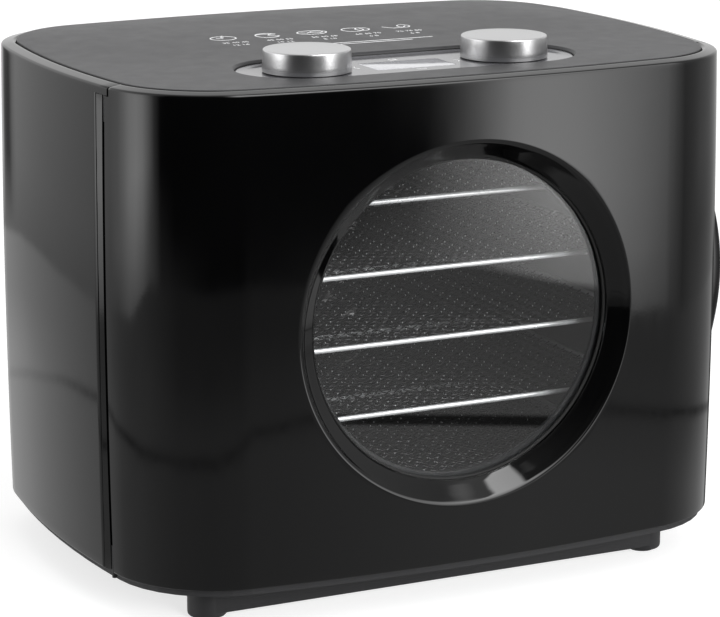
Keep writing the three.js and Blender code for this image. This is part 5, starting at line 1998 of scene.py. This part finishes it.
WALL_9: Stops = [
    (-180, 0.8), (-177.5, 0.5), (-174.5, 0.12), (-172.3, 0.1), (-171.2, 0.55), (-148, 0.56),
    (-137, 0.66), (-124, 1.06), (-116, 1.7), (-108, 2.7), (-100, 3.25), (-93, 2.9), (-87, 1.8),
    (-80, 0.45), (-74, 0.02), (-60, 0.01), (24, 0.02), (26, 0.42), (28.4, 1.66), (31, 3.7),
    (33, 4.1), (36, 3.9), (38.4, 3.3), (41, 2.6), (43.2, 1.9), (44.8, 1.15), (51, 0.75),
    (62, 0.33), (74, 0.38), (87, 0.48), (106, 0.42), (180, 0.8),
]
ABOVE: Stops = [
    (-180, 1.0), (-140, 0.95), (-124, 1.15), (-108, 2.5), (-93, 2.5), (-80, 0.45), (-70, 0.04),
    (-20, 0.02), (20, 0.1), (28, 2.2), (32, 3.2), (44, 2.4), (60, 0.7), (87, 0.45), (128, 0.9),
    (180, 1.0),
]
RISE_24: Stops = [
    (-180, 0.9), (-100, 1.4), (-70, 0.05), (-30, 0.02), (-12, 0.1), (2, 3.0), (34, 3.4),
    (50, 2.4), (60, 0.6), (87, 0.5), (128, 0.8), (180, 0.9),
]
RISE_50: Stops = [
    (-180, 0.8), (-100, 0.9), (-70, 0.1), (-25, 0.1), (-6, 0.2), (4, 5.0), (42, 5.5),
    (58, 3.0), (66, 0.5), (87, 0.5), (128, 0.7), (180, 0.8),
]
LAMP: Stops = [
    (-180, 0.7), (-60, 0.3), (-22, 0.15), (6, 0.2), (10, 6.2), (37, 7.0), (41, 0.8), (60, 0.9),
    (90, 0.6), (180, 0.7),
]
ZENITH: Stops = [(-180, 0.9), (180, 0.9)]

# The rows by elevation, measured from the backdrop's lower edge, which counts as -13.
ROWS: list[tuple[float, Stops]] = [
    (-80, DOWN),
    (-75, NEAR),
    (-17.5, FLOOR_17),
    (-15.6, FLOOR_15),
    (-14.2, FLOOR_14),
    (-13.08, FLOOR_14),
    (-12.92, WALL_13),
    (-11.3, WALL_11),
    (-9.6, WALL_9),
    (8, ABOVE),
    (24, RISE_24),
    (50, RISE_50),
    (60, LAMP),
    (74, LAMP),
    (84, ZENITH),
]


def put(made: bpy.types.Object) -> bpy.types.Object:
    """Links an object to the scene."""
    bpy.context.scene.collection.objects.link(made)
    return made


@dataclass
class Studio:
    """Camera, floor, lamps and the soft boxes that gloss surfaces mirror.

    EDGE_RISE counts from edge_base, and LINE_DROP from line_down degrees below level;
    the line is darkest within line_core degrees of its middle and gone past line_fade.
    """

    eye: tuple[float, float, float] = (-0.69053, -1.44027, 0.51284)
    sight: tuple[float, float, float] = (0.4223, 0.8793, -0.2205)
    lens: float = 147.75
    sensor: float = 36.0
    shift: float = -0.0544
    lamp_target: tuple[float, float, float] = (0.0, 0.0, 0.14)
    floor_half: float = 12.0
    floor_glow: float = 1.6
    floor_glow_share: float = 0.45
    sky_light: float = 0.62
    edge_base: float = 2.0
    line_down: float = 14.0
    line_core: float = 0.05
    line_fade: float = 0.16

    def camera(self) -> None:
        """The camera."""
        data = bpy.data.cameras.new("camera")
        data.lens, data.sensor_width, data.shift_y = self.lens, self.sensor, self.shift
        data.clip_start, data.clip_end = 0.05, 50.0
        made = put(bpy.data.objects.new("camera", data))
        made.location = self.eye
        made.rotation_euler = Vector(self.sight).to_track_quat("-Z", "Y").to_euler()
        bpy.context.scene.camera = made

    def floor(self) -> None:
        """A pale floor that is white to the camera where nothing shades it."""
        mesh = bpy.data.meshes.new("floor")
        half = self.floor_half
        corners = [(-half, -half, 0), (half, -half, 0), (half, half, 0), (-half, half, 0)]
        mesh.from_pydata(corners, [], [(0, 1, 2, 3)])
        made = put(bpy.data.objects.new("floor", mesh))
        made.visible_glossy = made.visible_transmission = False
        coat = bpy.data.materials.new("floor_paper")
        coat.use_nodes = True
        tree = Tree(coat.node_tree)
        seen = tree.node("ShaderNodeLightPath").out("Is Camera Ray") * self.floor_glow_share
        paper = {"Base Color": (0.8, 0.8, 0.8), "Roughness": 1.0, "Specular IOR Level": 0.0}
        shader = tree.node("ShaderNodeBsdfPrincipled", None, paper)
        glow = {"Color": (1.0, 1.0, 1.0), "Strength": self.floor_glow}
        bright = tree.node("ShaderNodeEmission", None, glow)
        mix = tree.node("ShaderNodeMixShader", None, {0: seen, 1: shader.out(), 2: bright.out()})
        tree.node("ShaderNodeOutputMaterial", None, {"Surface": mix.out()})
        mesh.materials.append(coat)

    def lamp(
        self, name: str, place: Sequence[float], size: tuple[float, float], power: float
    ) -> None:
        """A soft rectangular lamp that faces the object and isn't mirrored in it.

        Args:
            name: its name.
            place: where it stands, in metres.
            size: its width and height, in metres.
            power: in watts.
        """
        data = bpy.data.lights.new(name, "AREA")
        data.shape, data.size, data.size_y, data.energy = "RECTANGLE", *size, power
        made = put(bpy.data.objects.new(name, data))
        made.location = place
        towards = Vector(self.lamp_target) - Vector(place)
        made.rotation_euler = towards.to_track_quat("-Z", "Y").to_euler()
        made.visible_glossy = made.visible_transmission = False

    def lamps(self) -> None:
        """A wide overhead lamp, a front lamp that reaches the trays, and a left fill."""
        self.lamp("overhead", (0.1, -0.3, 1.7), (1.6, 1.4), 8.0)
        self.lamp("front", (0.1, -2.1, 0.75), (0.8, 0.6), 36.0)
        self.lamp("left_fill", (-1.5, -0.9, 0.8), (0.9, 1.2), 3.0)

    def world(self) -> None:
        """White behind the object, and a studio of soft boxes for gloss to mirror.

        The mirrored brightness depends on direction alone: each row is a curve by
        compass angle, and rows are blended by elevation above the backdrop's lower
        edge. A dark line, the table's edge, runs below it.
        """
        made = bpy.data.worlds.new("studio")
        made.use_nodes = True
        bpy.context.scene.world = made
        tree = Tree(made.node_tree)
        x, y, z = tree.axes(tree.node("ShaderNodeTexCoord").out("Generated"))
        compass = x.math("ARCTAN2", -y) / (2 * math.pi) + 0.5
        height = z.math("ARCSINE") * (180 / math.pi)
        from_edge = height - (self.row(compass, EDGE_RISE) - self.edge_base)
        mirrored: Sock = self.row(compass, ROWS[0][1])
        settings = {"clamp": True}
        for (low, _), (high, stops) in zip(ROWS, ROWS[1:]):
            span = {"Value": from_edge, "From Min": low, "From Max": high}
            share = tree.node("ShaderNodeMapRange", settings, span).out()
            mirrored = mirrored + (self.row(compass, stops) - mirrored) * share
        from_line = height + (self.row(compass, LINE_DROP) + self.line_down)
        line = 1 - from_line.math("ABSOLUTE").band(self.line_core, self.line_fade)
        mirrored = mirrored * (1 - line * self.row(compass, LINE_DEPTH))
        ray = tree.node("ShaderNodeLightPath")
        seen, diffuse = ray.out("Is Camera Ray"), ray.out("Is Diffuse Ray")
        strength = seen + diffuse * self.sky_light + (1 - seen - diffuse) * mirrored
        white = {"Color": (1.0, 1.0, 1.0), "Strength": strength}
        sky = tree.node("ShaderNodeBackground", None, white)
        tree.node("ShaderNodeOutputWorld", None, {"Surface": sky.out()})

    @staticmethod
    def row(compass: Sock, stops: Stops) -> Sock:
        """One curve by compass angle, from stops of (degrees, value)."""
        scale = max(value for _, value in stops)
        return compass.ramp([((angle + 180) / 360, value) for angle, value in stops], scale)

    def build(self) -> None:
        """Sets the whole studio up, apart from the camera."""
        self.floor()
        self.lamps()
        self.world()
        bpy.context.scene.view_settings.view_transform = "Standard"


def main() -> None:
    """Makes the camera, dresses the nodes, and builds every sub-assembly in order."""
    logging.basicConfig(level=logging.INFO, format="%(name)s: %(message)s")
    studio = Studio()
    studio.camera()
    dress_nodes()
    form = ShellForm()
    Door(form).build()
    Cabinet(form).build()
    TopDeck(form).build()
    Dials().build()
    for number in range(1, TRAYS + 1):
        Tray(number).build()
    for node in ("front_foot_rail", "rear_foot_rail"):
        FootRail(node).build()
    studio.build()


if __name__ == "__main__":
    main()
